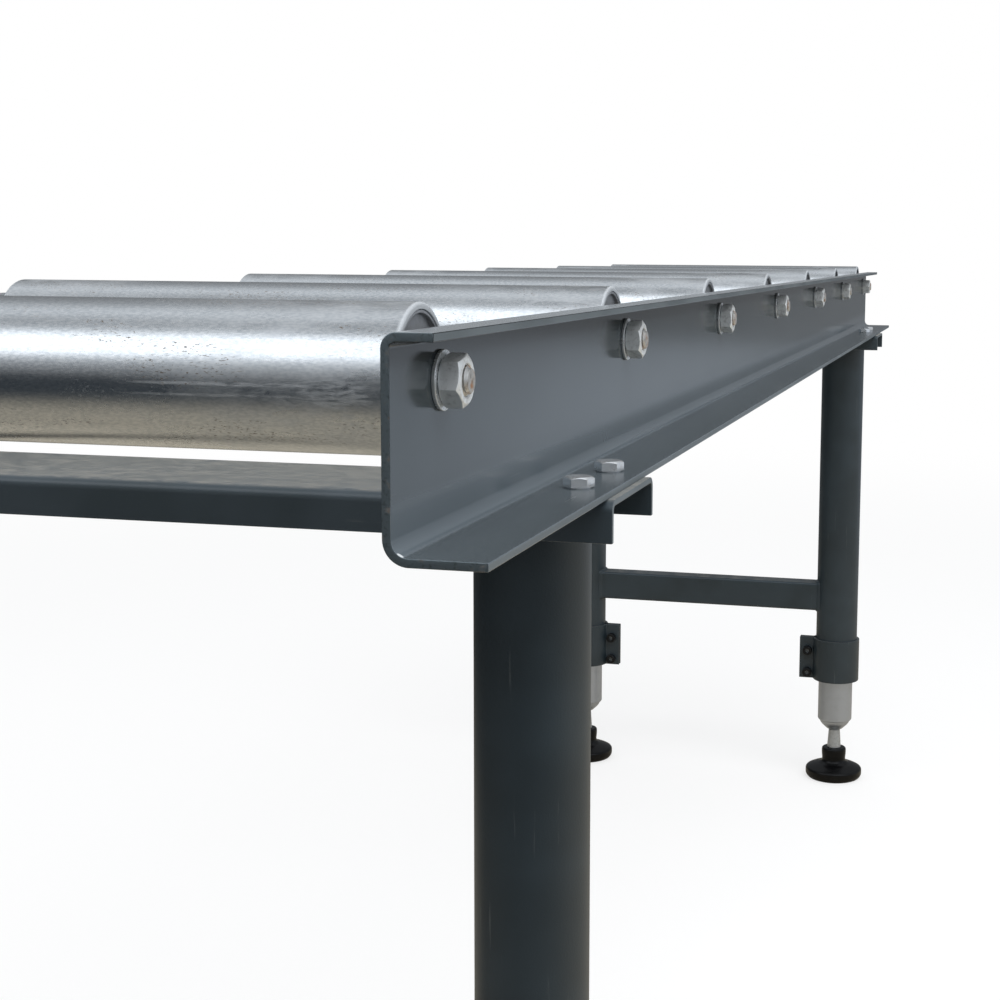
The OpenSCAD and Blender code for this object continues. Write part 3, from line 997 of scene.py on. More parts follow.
@dataclass
class SideRail:
    """A side rail: one sheet folded into a web and two flanges that point outwards."""

    side: Side
    thickness: float = 3.5
    top_flange: float = 20.0
    top_bend: float = 2.5
    bottom_bend: float = 6.5
    edge_round: float = 0.45

    @property
    def node(self) -> str:
        """The frame's node that this rail stands for."""
        return f"side_rail_{self.side.label}"

    def build(self) -> None:
        """Folds the sheet, marks its cropped ends and paints it."""
        span, sign = Span.of(self.node), self.side.value
        web = min(abs(span.low.y), abs(span.high.y))
        heading = Y * -sign
        start = Vector((span.middle.x, sign * (web + self.top_flange), span.high.z - self.thickness / 2))
        half, fold = self.thickness / 2, 90 * sign
        strip = FoldedStrip(start, heading, X, self.thickness, span.size.x)
        strip.straight(self.top_flange - self.thickness - self.top_bend)
        strip.bend(fold, self.top_bend + half, 8)
        strip.straight(span.size.z - 2 * self.thickness - self.top_bend - self.bottom_bend)
        strip.bend(fold, self.bottom_bend + half, 12)
        strip.straight(span.size.y - self.thickness - self.bottom_bend)
        bm = strip.finished(self.edge_round)
        bm.normal_update()
        finishes = (RAIL_PAINT, CUT_EDGE, SHEARED_EDGE)
        rims = (abs(start.y), max(abs(span.low.y), abs(span.high.y)))
        for face in bm.faces:
            reach = abs(face.calc_center_median().y)
            sheared = any(abs(reach - rim) < 0.01 for rim in rims)
            finish = CUT_EDGE if abs(face.normal.x) > 0.9 else SHEARED_EDGE if sheared else RAIL_PAINT
            face.material_index = finishes.index(finish)
        make_piece(f"folded_rail_{self.side.label}", bm, finishes, self.node)


@dataclass
class Rollers:
    """The seven rollers, each a tube with a pressed cap and a bearing in either end."""

    count: int = 7
    wall: float = 3.0
    rim_round: float = 1.4
    inner_round: float = 0.5
    cap_wall: float = 1.5
    cap_recess: float = 2.2
    cap_step: float = 0.4
    cap_rim: float = 14.0
    cap_hole: float = 19.0
    sides: int = 96

    def tube(self, radius: float, length: float) -> BMesh:
        """A tube along Z, centred, with rounded ends.

        Args:
            radius: The tube's outer radius.
            length: The tube's length.

        Returns:
            The tube.
        """
        inner, end = radius - self.wall, length / 2
        corners = (
            (radius, -end, self.rim_round), (radius, end, self.rim_round),
            (inner, end, self.inner_round), (inner, -end, self.inner_round),
        )
        return turned(corners, steps=self.sides)

    def cap(self, radius: float, length: float) -> BMesh:
        """A pressed cap for the upper end of the tube.

        Args:
            radius: The tube's outer radius.
            length: The tube's length.

        Returns:
            The cap, in its place in the tube.
        """
        outer, end = radius - self.wall, length / 2
        inner, hole = outer - self.cap_wall, self.cap_hole / 2
        lip, face, back = end - self.cap_step, end - self.cap_recess, end - self.cap_rim
        corners = (
            (hole, face, 0.4), (inner, face, 0.6), (inner, lip, 0.5), (outer, lip, 0.5),
            (outer, back, 0.3), (inner, back, 0.3),
            (inner, face - self.cap_wall, 1.2), (hole, face - self.cap_wall, 0.4),
        )
        return turned(corners, steps=self.sides)

    def build(self) -> None:
        """Builds every roller and dresses its bearings."""
        for number in range(1, self.count + 1):
            roller, node, caps_node = f"roller_{number}", f"roller_tube_{number}", f"roller_end_caps_{number}"
            span = Span.of(node)
            radius, length = span.size.z / 2, span.size.y
            at = Matrix.Translation(span.middle)
            tube = moved(self.tube(radius, length), at @ outwards(Side.LEFT))
            make_piece(f"{roller}_tube", tube, (ROLLER_ZINC,), node, roller)
            caps = copies(self.cap(radius, length), [at @ outwards(side) for side in Side])
            make_piece(f"{roller}_pressed_caps", caps, (CAP_ZINC,), caps_node, roller)
            dress_node(f"bearing_outer_rings_{number}", BEARING_STEEL)
        dress_node("bearing_inner_rings", BEARING_STEEL)


def dress_node(node: str, finish: Finish) -> None:
    """Gives a node of the frame, whose shape stays, its finish.

    Args:
        node: The node's name.
        finish: What it is made of.
    """
    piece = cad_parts[node]
    piece.data.materials.clear()
    piece.data.materials.append(finish.material())
    log.info("%s: dressed as it is", node)


@dataclass
class Axles:
    """The fixed axles, with a washer and a nut on each threaded end."""

    count: int = 7
    bar: float = 15.0
    bar_round: float = 0.8
    shoulder: float = 193.5
    stud: float = 12.0
    pitch: float = 1.75
    flats: float = 19.0
    washer_bore: float = 13.0
    washer_round: float = 0.35
    nut_turns: tuple[float, ...] = (-14, 9, 2, 24, 3, -8, 20, 17, -11, 5, 13, -3, 26, 6)

    def build(self) -> None:
        """Builds the axles, washers and nuts."""
        centres = [Span.of(f"roller_tube_{number}").middle for number in range(1, self.count + 1)]
        ends = [Matrix.Translation(centre) @ outwards(side) for centre in centres for side in Side]
        whole, nuts, washers = Span.of("roller_axles"), Span.of("axle_nuts"), Span.of("axle_washers")
        radius, shoulder = self.bar / 2, self.shoulder
        corners = (
            (0, -shoulder, 0), (radius, -shoulder, self.bar_round), (radius, shoulder, self.bar_round),
            (0, shoulder, 0),
        )
        bar = turned(corners, closed=False, steps=48, segments=2)
        bars = copies(bar, [Matrix.Translation(centre) @ outwards(Side.LEFT) for centre in centres])
        studs = copies(threaded(self.stud, self.pitch, shoulder - 1, whole.high.y), ends)
        make_piece("axle_bars", joined(bars, studs), (AXLE_STEEL,), "roller_axles")
        bore, rim, seat, top = self.washer_bore / 2, washers.size.z / 2, self.washer_seat, washers.high.y
        ring = ((bore, seat), (rim, seat), (rim, top), (bore, top))
        disc = turned([(*spot, self.washer_round) for spot in ring], steps=48, segments=3)
        discs = copies(disc, ends)
        make_piece("plain_washers", discs, (WASHER_ZINC,), "axle_washers")
        nut = hexagon_nut(self.flats, nuts.high.y - top, self.stud)
        moved(nut, Matrix.Translation(Z * top))
        turns = [Matrix.Rotation(math.radians(90 + turn), 4, "Z") for turn in self.nut_turns]
        nuts_on = copies(nut, [end @ turn for end, turn in zip(ends, turns)])
        make_piece("hexagon_axle_nuts", nuts_on, (NUT_ZINC,), "axle_nuts")

    @property
    def washer_seat(self) -> float:
        """How far out the web's outer face lies."""
        return Span.of("side_rail_left").low.y + SideRail(Side.LEFT).thickness


@dataclass
class RailBolts:
    """The bolts that hold the rails on the head channels, and their nuts.

    Attributes:
        spacing: The distance between the two bolts of a rail's end.
        thread: How long the threaded part is.
        line: How far from the table's middle the bolts stand.
        seat_share: The diameter of the head's round seat, as a share of the flats.
        face_share: The diameter of the head's flat top, as a share of the flats.
        thread_gap: How far the plain shank lies under the thread's crests.
        turns: How far each head is turned, in degrees.
    """

    flats: float = 13.0
    shank: float = 8.0
    pitch: float = 1.25
    spacing: float = 60.0
    thread: float = 16.0
    line: float = 217.0
    seat_height: float = 0.5
    seat_share: float = 0.93
    face_share: float = 0.9
    thread_gap: float = 0.3
    turns: tuple[float, ...] = (46, 44, 15, 2, 27, 11, 19, 5)

    def places(self) -> list[Matrix]:
        """The axis of every bolt, turned as it was left when it was tightened.

        Returns:
            A place on the floor for each.
        """
        found = []
        for end in End:
            middle = Span.of(f"head_channel_{end.label}").middle.x
            for side in Side:
                for step in (-1, 1):
                    turn = math.radians(self.turns[len(found)])
                    spot = Vector((middle + step * self.spacing / 2, side.value * self.line, 0))
                    found.append(Matrix.Translation(spot) @ Matrix.Rotation(turn, 4, "Z"))
        return found

    def head(self, height: float) -> BMesh:
        """A forged head: a hexagon on a round seat.

        Args:
            height: The height of the head with its seat.

        Returns:
            The head, standing on zero.
        """
        bm = chamfered_hexagon(self.flats, height - self.seat_height, self.face_share, both_ends=False)
        moved(break_edges(bm, **FORGED), Matrix.Translation(Z * self.seat_height))
        radius, top = self.seat_share * self.flats / 2, 2 * self.seat_height
        seat = turned(((0, 0, 0), (radius, 0, 0.1), (radius, top, 0), (0, top, 0)), False, 48, 2)
        return joined(bm, seat)

    def build(self) -> None:
        """Builds the bolts and their nuts."""
        bolts, nuts = Span.of("rail_bolts"), Span.of("rail_bolt_nuts")
        seat = Span.of("side_rail_right").low.z + SideRail(Side.RIGHT).thickness
        head = moved(self.head(bolts.high.z - seat), Matrix.Translation(Z * seat))
        thread = threaded(self.shank, self.pitch, -bolts.low.z - self.thread, -bolts.low.z, 16)
        moved(thread, Matrix.Rotation(math.pi, 4, "X"))
        radius, start = self.shank / 2 - self.thread_gap, bolts.low.z + self.thread - 1
        body = turned(((0, start, 0), (radius, start, 0), (radius, seat + 1, 0), (0, seat + 1, 0)), False, 24)
        whole = copies(joined(head, thread, body), self.places())
        make_piece("hexagon_rail_bolts", whole, (BOLT_ZINC,), "rail_bolts")
        nut = moved(hexagon_nut(self.flats, nuts.size.z, self.shank, 0.6), Matrix.Translation(Z * nuts.low.z))
        whole = copies(nut, self.places())
        make_piece("hexagon_rail_bolt_nuts", whole, (BOLT_ZINC,), "rail_bolt_nuts")


@dataclass
class Trestle:
    """A trestle: the head channel, the cross brace and two legs.

    Attributes:
        weld_rings: How far out from the brace and how far off the leg each ring of a weld lies.
        weld_cuts: How often a long edge of a ring is cut.
        ripple_height: How high the ripples of a weld are.
        ripple_rate: How fast they follow on one another, in radians for a millimetre.
    """

    end: End
    channel_wall: float = 3.0
    channel_bend: float = 2.5
    edge_round: float = 0.45
    brace_round: float = 3.5
    leg_radius: float = 29.0
    weld_rings: tuple[Edge, ...] = ((0.0, 3.0), (0.8, 2.5), (1.6, 1.7), (2.2, 0.8), (2.6, -0.2))
    weld_cuts: int = 14
    ripple_height: float = 0.2
    ripple_rate: float = 1.9

    def channel(self) -> BMesh:
        """The head channel, folded down at the front and the rear.

        Returns:
            The channel, with its sheared ends marked.
        """
        span = Span.of(f"head_channel_{self.end.label}")
        half = self.channel_wall / 2
        start = Vector((span.low.x + half, 0, span.low.z))
        upright = span.size.z - self.channel_wall - self.channel_bend
        strip = FoldedStrip(start, Z, Y, self.channel_wall, span.size.y)
        strip.straight(upright).bend(90, self.channel_bend + half, 8)
        strip.straight(span.size.x - 2 * (self.channel_wall + self.channel_bend))
        strip.bend(90, self.channel_bend + half, 8).straight(upright)
        bm = strip.finished(self.edge_round)
        bm.normal_update()
        for face in bm.faces:
            face.material_index = int(abs(face.normal.y) > 0.9)
        return bm

    def brace(self) -> BMesh:
        """The rectangular tube between the legs, cut to fit round them.

        Returns:
            The brace, as a closed bar.
        """
        span = Span.of(f"cross_brace_{self.end.label}")
        low, high, corner = span.low, span.high, self.brace_round
        spots = ((low.x, low.z), (high.x, low.z), (high.x, high.z), (low.x, high.z))
        bm = outline([(*spot, corner) for spot in spots], True)
        bmesh.ops.contextual_create(bm, geom=bm.edges[:])
        bmesh.ops.translate(bm, verts=bm.verts, vec=Y * low.y)
        run = bmesh.ops.extrude_face_region(bm, geom=bm.faces[:])["geom"]
        bmesh.ops.translate(bm, verts=verts_of(run), vec=Y * span.size.y)
        for vert in bm.verts:
            vert.co.y = math.copysign(self.reach(vert.co.x - span.middle.x, self.leg_radius), vert.co.y)
        return close_up(bm)

    def reach(self, off: float, radius: float) -> float:
        """How far out the skin of a leg lies, at a distance along the table from its axis.

        Args:
            off: That distance.
            radius: The radius of the skin, or of a surface round it.

        Returns:
            The distance from the table's middle.
        """
        return leg_axis(self.end, Side.LEFT).y - math.sqrt(radius ** 2 - off ** 2)

    def brace_welds(self) -> BMesh:
        """A fillet weld round either end of the brace, bridged from ring to ring.

        Each ring lies farther out from the brace than the last, and nearer to the leg's skin. Only the rings
        between the first and the last are rippled.

        Returns:
            Both welds.
        """
        span = Span.of(f"cross_brace_{self.end.label}")
        middle, size = span.middle, span.size
        welds = []
        for side in Side:
            bm, last = bmesh.new(), None
            for number, (out, off) in enumerate(self.weld_rings):
                ring = outline(
                    [(sx * (size.x / 2 + out), sz * (size.z / 2 + out), self.brace_round + out)
                     for sx, sz in ((-1, -1), (1, -1), (1, 1), (-1, 1))], True, 6,
                )
                long_edges = [edge for edge in ring.edges if edge.calc_length() > 8]
                bmesh.ops.subdivide_edges(ring, edges=long_edges, cuts=self.weld_cuts)
                height = self.ripple_height if 0 < number < len(self.weld_rings) - 1 else 0.0
                for vert in ring.verts:
                    ripple = height * math.sin(self.ripple_rate * (vert.co.x + vert.co.z))
                    vert.co.y = self.reach(vert.co.x, self.leg_radius + off + ripple) * side.value
                mesh = bpy.data.meshes.new("ring")
                ring.to_mesh(mesh)
                ring.free()
                before = set(bm.edges)
                bm.from_mesh(mesh)
                bpy.data.meshes.remove(mesh)
                loop = [edge for edge in bm.edges if edge not in before]
                if last:
                    bmesh.ops.bridge_loops(bm, edges=last + loop)
                last = loop
            bmesh.ops.translate(bm, verts=bm.verts, vec=(middle.x, 0, middle.z))
            bmesh.ops.recalc_face_normals(bm, faces=bm.faces)
            welds.append(bm)
        return joined(*welds)

    def build(self) -> None:
        """Builds the trestle and its legs."""
        end, finishes = self.end.label, (CHANNEL_PAINT, SHEARED_EDGE)
        make_piece(f"folded_head_channel_{end}", self.channel(), finishes, f"head_channel_{end}")
        welded = joined(self.brace(), self.brace_welds())
        make_piece(f"welded_brace_{end}", welded, (LEG_PAINT,), f"cross_brace_{end}")
        for side in Side:
            Leg(self.end, side).build()


def leg_axis(end: End, side: Side) -> Vector:
    """The foot of a leg's axis, on the floor."""
    middle = Span.of(f"leg_tube_{end.label}_{side.label}").middle
    return Vector((middle.x, middle.y, 0))


@dataclass
class Leg:
    """A telescopic leg: outer tube, clamp collar, inner tube, threaded bush, spindle and foot pad."""

    end: End
    side: Side
    tube_wall: float = 4.5
    tube_round: float = 0.5
    slit_height: float = 52.0
    slit_degrees: float = 4.0
    weld_reach: float = 4.0
    collar_wall: float = 3.5
    collar_gap: float = 4.0
    ear_fillet: float = 3.5
    ear_reach: float = 52.0
    collar_round: float = 0.6
    screw_reach: float = 40.5
    screw_shank: float = 8.0
    screw_head: float = 13.0
    screw_pitch: float = 1.25
    screw_heights: tuple[float, ...] = (154.0, 186.0)
    nut_flats: float = 13.0
    nut_height: float = 6.5
    nut_lead: float = 0.6
    tip: float = 3.0
    socket_flats: float = 6.0
    inner_wall: float = 3.0
    mouth_gap: float = 0.25
    mouth_depth: float = 19.0
    spindle_major: float = 16.0
    spindle_pitch: float = 2.0
    ball: float = 20.0
    ball_height: float = 22.0
    taper_low: float = 22.4
    taper_top: float = 48.0
    taper_radius: float = 9.8
    name: str = field(init=False)
    turn: Matrix = field(init=False)

    def __post_init__(self) -> None:
        """Works out the leg's name, and the turn that puts local +Y inboard."""
        self.name = f"{self.end.label}_{self.side.label}"
        inboard = 0 if self.side is Side.RIGHT else math.pi
        self.turn = Matrix.Translation(leg_axis(self.end, self.side)) @ Matrix.Rotation(inboard, 4, "Z")

    def outer_tube(self) -> BMesh:
        """The outer tube, slit at its inboard foot, so that the collar can close it.

        Returns:
            The tube, round the Z axis.
        """
        span = Span.of(f"leg_tube_{self.name}")
        radius, low, high = span.size.x / 2, span.low.z, span.high.z
        inner, slit, step = radius - self.tube_wall, low + self.slit_height, self.slit_degrees
        bm = bmesh.new()
        points = ((radius, low), (radius, slit), (radius, high), (inner, high), (inner, slit), (inner, low))
        verts = [bm.verts.new((across, 0, up)) for across, up in points]
        for here, there in zip(verts, verts[1:] + verts[:1]):
            bm.edges.new((here, there))
        bmesh.ops.rotate(bm, verts=bm.verts, matrix=Matrix.Rotation(math.radians(90 - step), 3, "Z"))
        bmesh.ops.spin(
            bm, geom=bm.verts[:] + bm.edges[:], cent=(0, 0, 0), axis=Z, angle=math.tau,
            steps=round(360 / step), use_merge=True,
        )
        close_up(bm)
        cut = []
        for face in bm.faces:
            spot = face.calc_center_median()
            if spot.y > 0 and abs(math.degrees(math.atan2(spot.x, spot.y))) < step and spot.z < slit:
                cut.append(face)
        bmesh.ops.delete(bm, geom=cut, context="FACES")
        open_edges = [edge for edge in bm.edges if edge.is_boundary]
        rim = [edge for edge in open_edges if all(v.co.z > low - 1 for v in edge.verts)]
        outside = [edge for edge in rim if all(v.co.xy.length > radius - 1 for v in edge.verts)]
        inside = [edge for edge in rim if all(v.co.xy.length < inner + 1 for v in edge.verts)]
        bmesh.ops.bridge_loops(bm, edges=outside + inside)
        bmesh.ops.recalc_face_normals(bm, faces=bm.faces)
        return break_edges(bm, self.tube_round, 60)

    def top_weld(self) -> BMesh:
        """The fillet weld between the leg and the underside of the head channel.

        Returns:
            A rippled ring.
        """
        span = Span.of(f"leg_tube_{self.name}")
        radius, low, top = span.size.x / 2, span.high.z - 4.2, span.high.z - 0.3
        corners = (
            (radius - 1, low, 0), (radius + 0.2, low, 0.2), (radius + self.weld_reach, top, 0.4),
            (radius - 1, top, 0),
        )
        weld = turned(corners, steps=144, segments=3)
        # Two waves, a short one and a long one, so that the beads aren't all alike
        for vert in weld.verts:
            around = math.atan2(vert.co.y, vert.co.x)
            if vert.co.xy.length > radius + 0.5:
                vert.co.xy *= 1 + 0.006 * math.sin(62 * around) + 0.004 * math.sin(17 * around)
        return weld

    def collar(self) -> BMesh:
        """The clamp collar: a strip bent round the leg, with an ear at either end.

        Returns:
            The collar, with its ears on local +Y.
        """
        span = Span.of(f"clamp_collar_{self.name}")
        radius = span.size.x / 2 - self.collar_wall / 2
        ear, fillet = (self.collar_gap + self.collar_wall) / 2, self.ear_fillet
        opening = math.asin((ear + fillet) / (radius + fillet))
        root = (radius + fillet) * math.cos(opening)
        out = 90 - math.degrees(opening)
        start = Vector((-ear, self.ear_reach, span.middle.z))
        strip = FoldedStrip(start, -Y, Z, self.collar_wall, span.size.z)
        strip.straight(self.ear_reach - root).bend(-out, fillet, 8)
        strip.bend(360 - 2 * math.degrees(opening), radius, 64)
        strip.bend(-out, fillet, 8).straight(self.ear_reach - root)
        return strip.finished(self.collar_round)

    def screw_head_mesh(self) -> BMesh:
        """The head of a socket screw along +Z, with a hexagon socket in it.

        Returns:
            The head, with the socket's floor marked.
        """
        ear = self.collar_gap / 2 + self.collar_wall
        radius, top, mouth = self.screw_head / 2, ear + self.screw_shank, self.socket_flats / math.sqrt(3)
        head = turned(
            ((mouth + 0.25, top, 0), (radius, top, 0.9), (radius, ear, 0.2), (0, ear, 0)),
            closed=False, steps=36, segments=3,
        )
        rim = [edge for edge in head.edges if edge.is_boundary]
        for level in (top - 0.3, top - self.screw_shank / 2):
            sunk = bmesh.ops.extrude_edge_only(head, edges=rim)["geom"]
            for vert in verts_of(sunk):
                around = math.atan2(vert.co.y, vert.co.x) % (math.pi / 3) - math.pi / 6
                vert.co.xy = vert.co.xy.normalized() * (self.socket_flats / 2 / math.cos(around))
                vert.co.z = level
            rim = [edge for edge in edges_of(sunk) if edge.is_boundary]
        # The socket's floor takes the second material, whose lighter steel is a painted highlight
        for face in bmesh.ops.edgeloop_fill(head, edges=rim)["faces"]:
            face.material_index = 1
        bmesh.ops.recalc_face_normals(head, faces=head.faces)
        return head

    def screw(self) -> BMesh:
        """A clamp screw, with its head towards +Z.

        Returns:
            The head and the threaded shank.
        """
        ear = self.collar_gap / 2 + self.collar_wall
        end = ear + self.nut_height + self.tip
        shank = threaded(self.screw_shank, self.screw_pitch, -ear, end, 16)
        moved(shank, Matrix.Rotation(math.pi, 4, "X"))
        return joined(self.screw_head_mesh(), shank)

    def screw_places(self) -> list[Matrix]:
        """The axis of each clamp screw, with +Z towards the front.

        Returns:
            A place for each screw.
        """
        front = Matrix.Rotation(math.radians(-90), 4, "Y")
        spot = leg_axis(self.end, self.side) + Y * -self.side.value * self.screw_reach
        return [Matrix.Translation(spot + Z * height) @ front for height in self.screw_heights]

    def inner_tube(self) -> BMesh:
        """The inner tube, with its lower edge rolled in.

        Returns:
            The tube, round the Z axis.
        """
        span = Span.of(f"inner_tube_{self.name}")
        radius, low, high = span.size.x / 2, span.low.z, span.high.z
        inner, rolled = radius - self.inner_wall, self.inner_wall - 0.1
        corners = ((radius, low, rolled), (radius, high, 0.4), (inner, high, 0.4), (inner, low, 0))
        return turned(corners, steps=96)

    def bush(self) -> BMesh:
        """The cone that closes the inner tube, with a mouth that takes the spindle's tapered neck.

        Returns:
            The bush, round the Z axis.
        """
        span, tube = Span.of(f"threaded_bush_{self.name}"), Span.of(f"inner_tube_{self.name}")
        low, seam, top = span.low.z, tube.low.z, span.high.z
        wide, narrow, bore, spigot = span.size.x / 2 - 2.4, 9.4, 8.15, tube.size.x / 2 - 3.1
        mouth, sunk = self.taper_radius + self.mouth_gap, low + self.mouth_depth
        corners = (
            (mouth, low, 0.1), (narrow + 1.6, low, 0.7), (wide - 1.4, seam - 4.2, 3.6), (wide, seam + 0.4, 0),
            (spigot, seam + 0.4, 0), (spigot, top, 0.5), (bore, top, 0.5), (bore, sunk, 0),
        )
        return turned(corners, steps=96)

    def spindle(self) -> BMesh:
        """The spindle: a threaded bar on a neck with a ball.

        Returns:
            The spindle, round the Z axis.
        """
        span = Span.of(f"foot_spindle_{self.name}")
        ball, level = self.ball / 2, self.ball_height
        start = level + self.taper_top
        thread = threaded(self.spindle_major, self.spindle_pitch, start, span.high.z)
        sweep, steps = [], 14
        for step in range(steps + 1):
            angle = math.radians(-90 + step * 138 / steps)
            sweep.append((ball * math.cos(angle) if step else 0.0, level + ball * math.sin(angle), 0.0))
        foot, thick = level + self.taper_low, self.taper_radius
        neck = (
            (6.9, level + 8.6, 0.6), (6.9, foot, 0.5), (thick, foot, 0.3),
            (self.spindle_major / 2, start, 0.2), (0, start, 0),
        )
        return joined(thread, turned(tuple(sweep) + neck, closed=False, steps=48, segments=3))

    def pad(self) -> BMesh:
        """The foot pad: a domed disc with a waisted neck that holds the spindle's ball.

        Returns:
            The pad, round the Z axis.
        """
        span = Span.of(f"foot_pad_{self.name}")
        radius, top, level = span.size.x / 2, span.high.z, self.ball_height
        sole = ((0, 0.6, 0), (radius - 12, 0.6, 0.4), (radius - 11, 0, 0.3), (radius - 4, 0, 1.6))
        disc = ((radius, 4.6, 2.6), (radius, 14.2, 2.6), (radius - 10, 19, 6), (20.2, 21.4, 3))
        waist = ((16.2, 25.4, 3.2), (17.5, top - 6, 4), (16.9, top, 2.6), (9.6, top, 1))
        cup = (
            (8.6, top - 1.6, 0.6), (8.6, level + 5.7, 0.3), (10.3, level, 2), (8, level - 8, 1),
            (0, level - 10.4, 0),
        )
        return turned(sole + disc + waist + cup, closed=False, steps=96, segments=6)

    def build(self) -> None:
        """Builds the leg's pieces from the top down."""
        leg = self.name
        inner, spindle, foot = f"inner_leg_{leg}", f"spindle_{leg}", f"foot_{leg}"
        outer = joined(self.outer_tube(), self.top_weld())
        pieces = (
            ("slit_leg_tube", outer, LEG_PAINT, "leg_paint", "leg_tube", "frame"),
            ("bent_collar", self.collar(), LEG_PAINT, "leg_paint", "clamp_collar", "frame"),
            ("sliding_tube", self.inner_tube(), TUBE_ZINC, "tube_zinc", "inner_tube", inner),
            ("cone_bush", self.bush(), TUBE_ZINC, "tube_zinc", "threaded_bush", inner),
            ("ball_spindle", self.spindle(), SPINDLE_ZINC, "spindle_zinc", "foot_spindle", spindle),
            ("moulded_pad", self.pad(), PAD_NYLON, "pad_plastic", "foot_pad", foot),
        )
        for name, bm, finish, slot, node, body in pieces:
            make_piece(f"{name}_{leg}", moved(bm, self.turn), (finish,), f"{node}_{leg}", body)


@dataclass
class ClampFasteners:
    """The screws and nuts of all four collars."""

    def build(self) -> None:
        """Builds the screws as one piece and the nuts as another."""
        legs = [Leg(end, side) for end in End for side in Side]
        places = [place for leg in legs for place in leg.screw_places()]
        leg, slot = legs[0], "black_oxide"
        screws = copies(leg.screw(), places)
        make_piece("socket_clamp_screws", screws, (SCREW_BLACK, SOCKET_FLOOR_HIGHLIGHT), "clamp_screws")
        nut = hexagon_nut(leg.nut_flats, leg.nut_height, leg.screw_shank, leg.nut_lead)
        moved(nut, Matrix.Translation(Z * -(leg.collar_gap / 2 + leg.collar_wall + leg.nut_height)))
        make_piece("hexagon_clamp_nuts", copies(nut, places), (SCREW_BLACK,), "clamp_nuts")


# Degrees from the far horizon, over the top, to the horizon behind the camera, with half the brightness there
CEILING_LEVELS = (
    (-180, 0.05), (-140, 0.05), (-90, 0.12), (-10, 0.1), (10, 0.1), (28, 0.13), (46, 0.19), (58, 0.3),
    (68, 0.42), (78, 0.42), (88, 0.26), (101, 0.22), (110, 0.33), (117, 0.78), (124, 1.0),
    (144, 1.0), (149, 0.8), (154, 0.46), (159, 0.29), (164, 0.2), (171, 0.14), (180, 0.09),
)


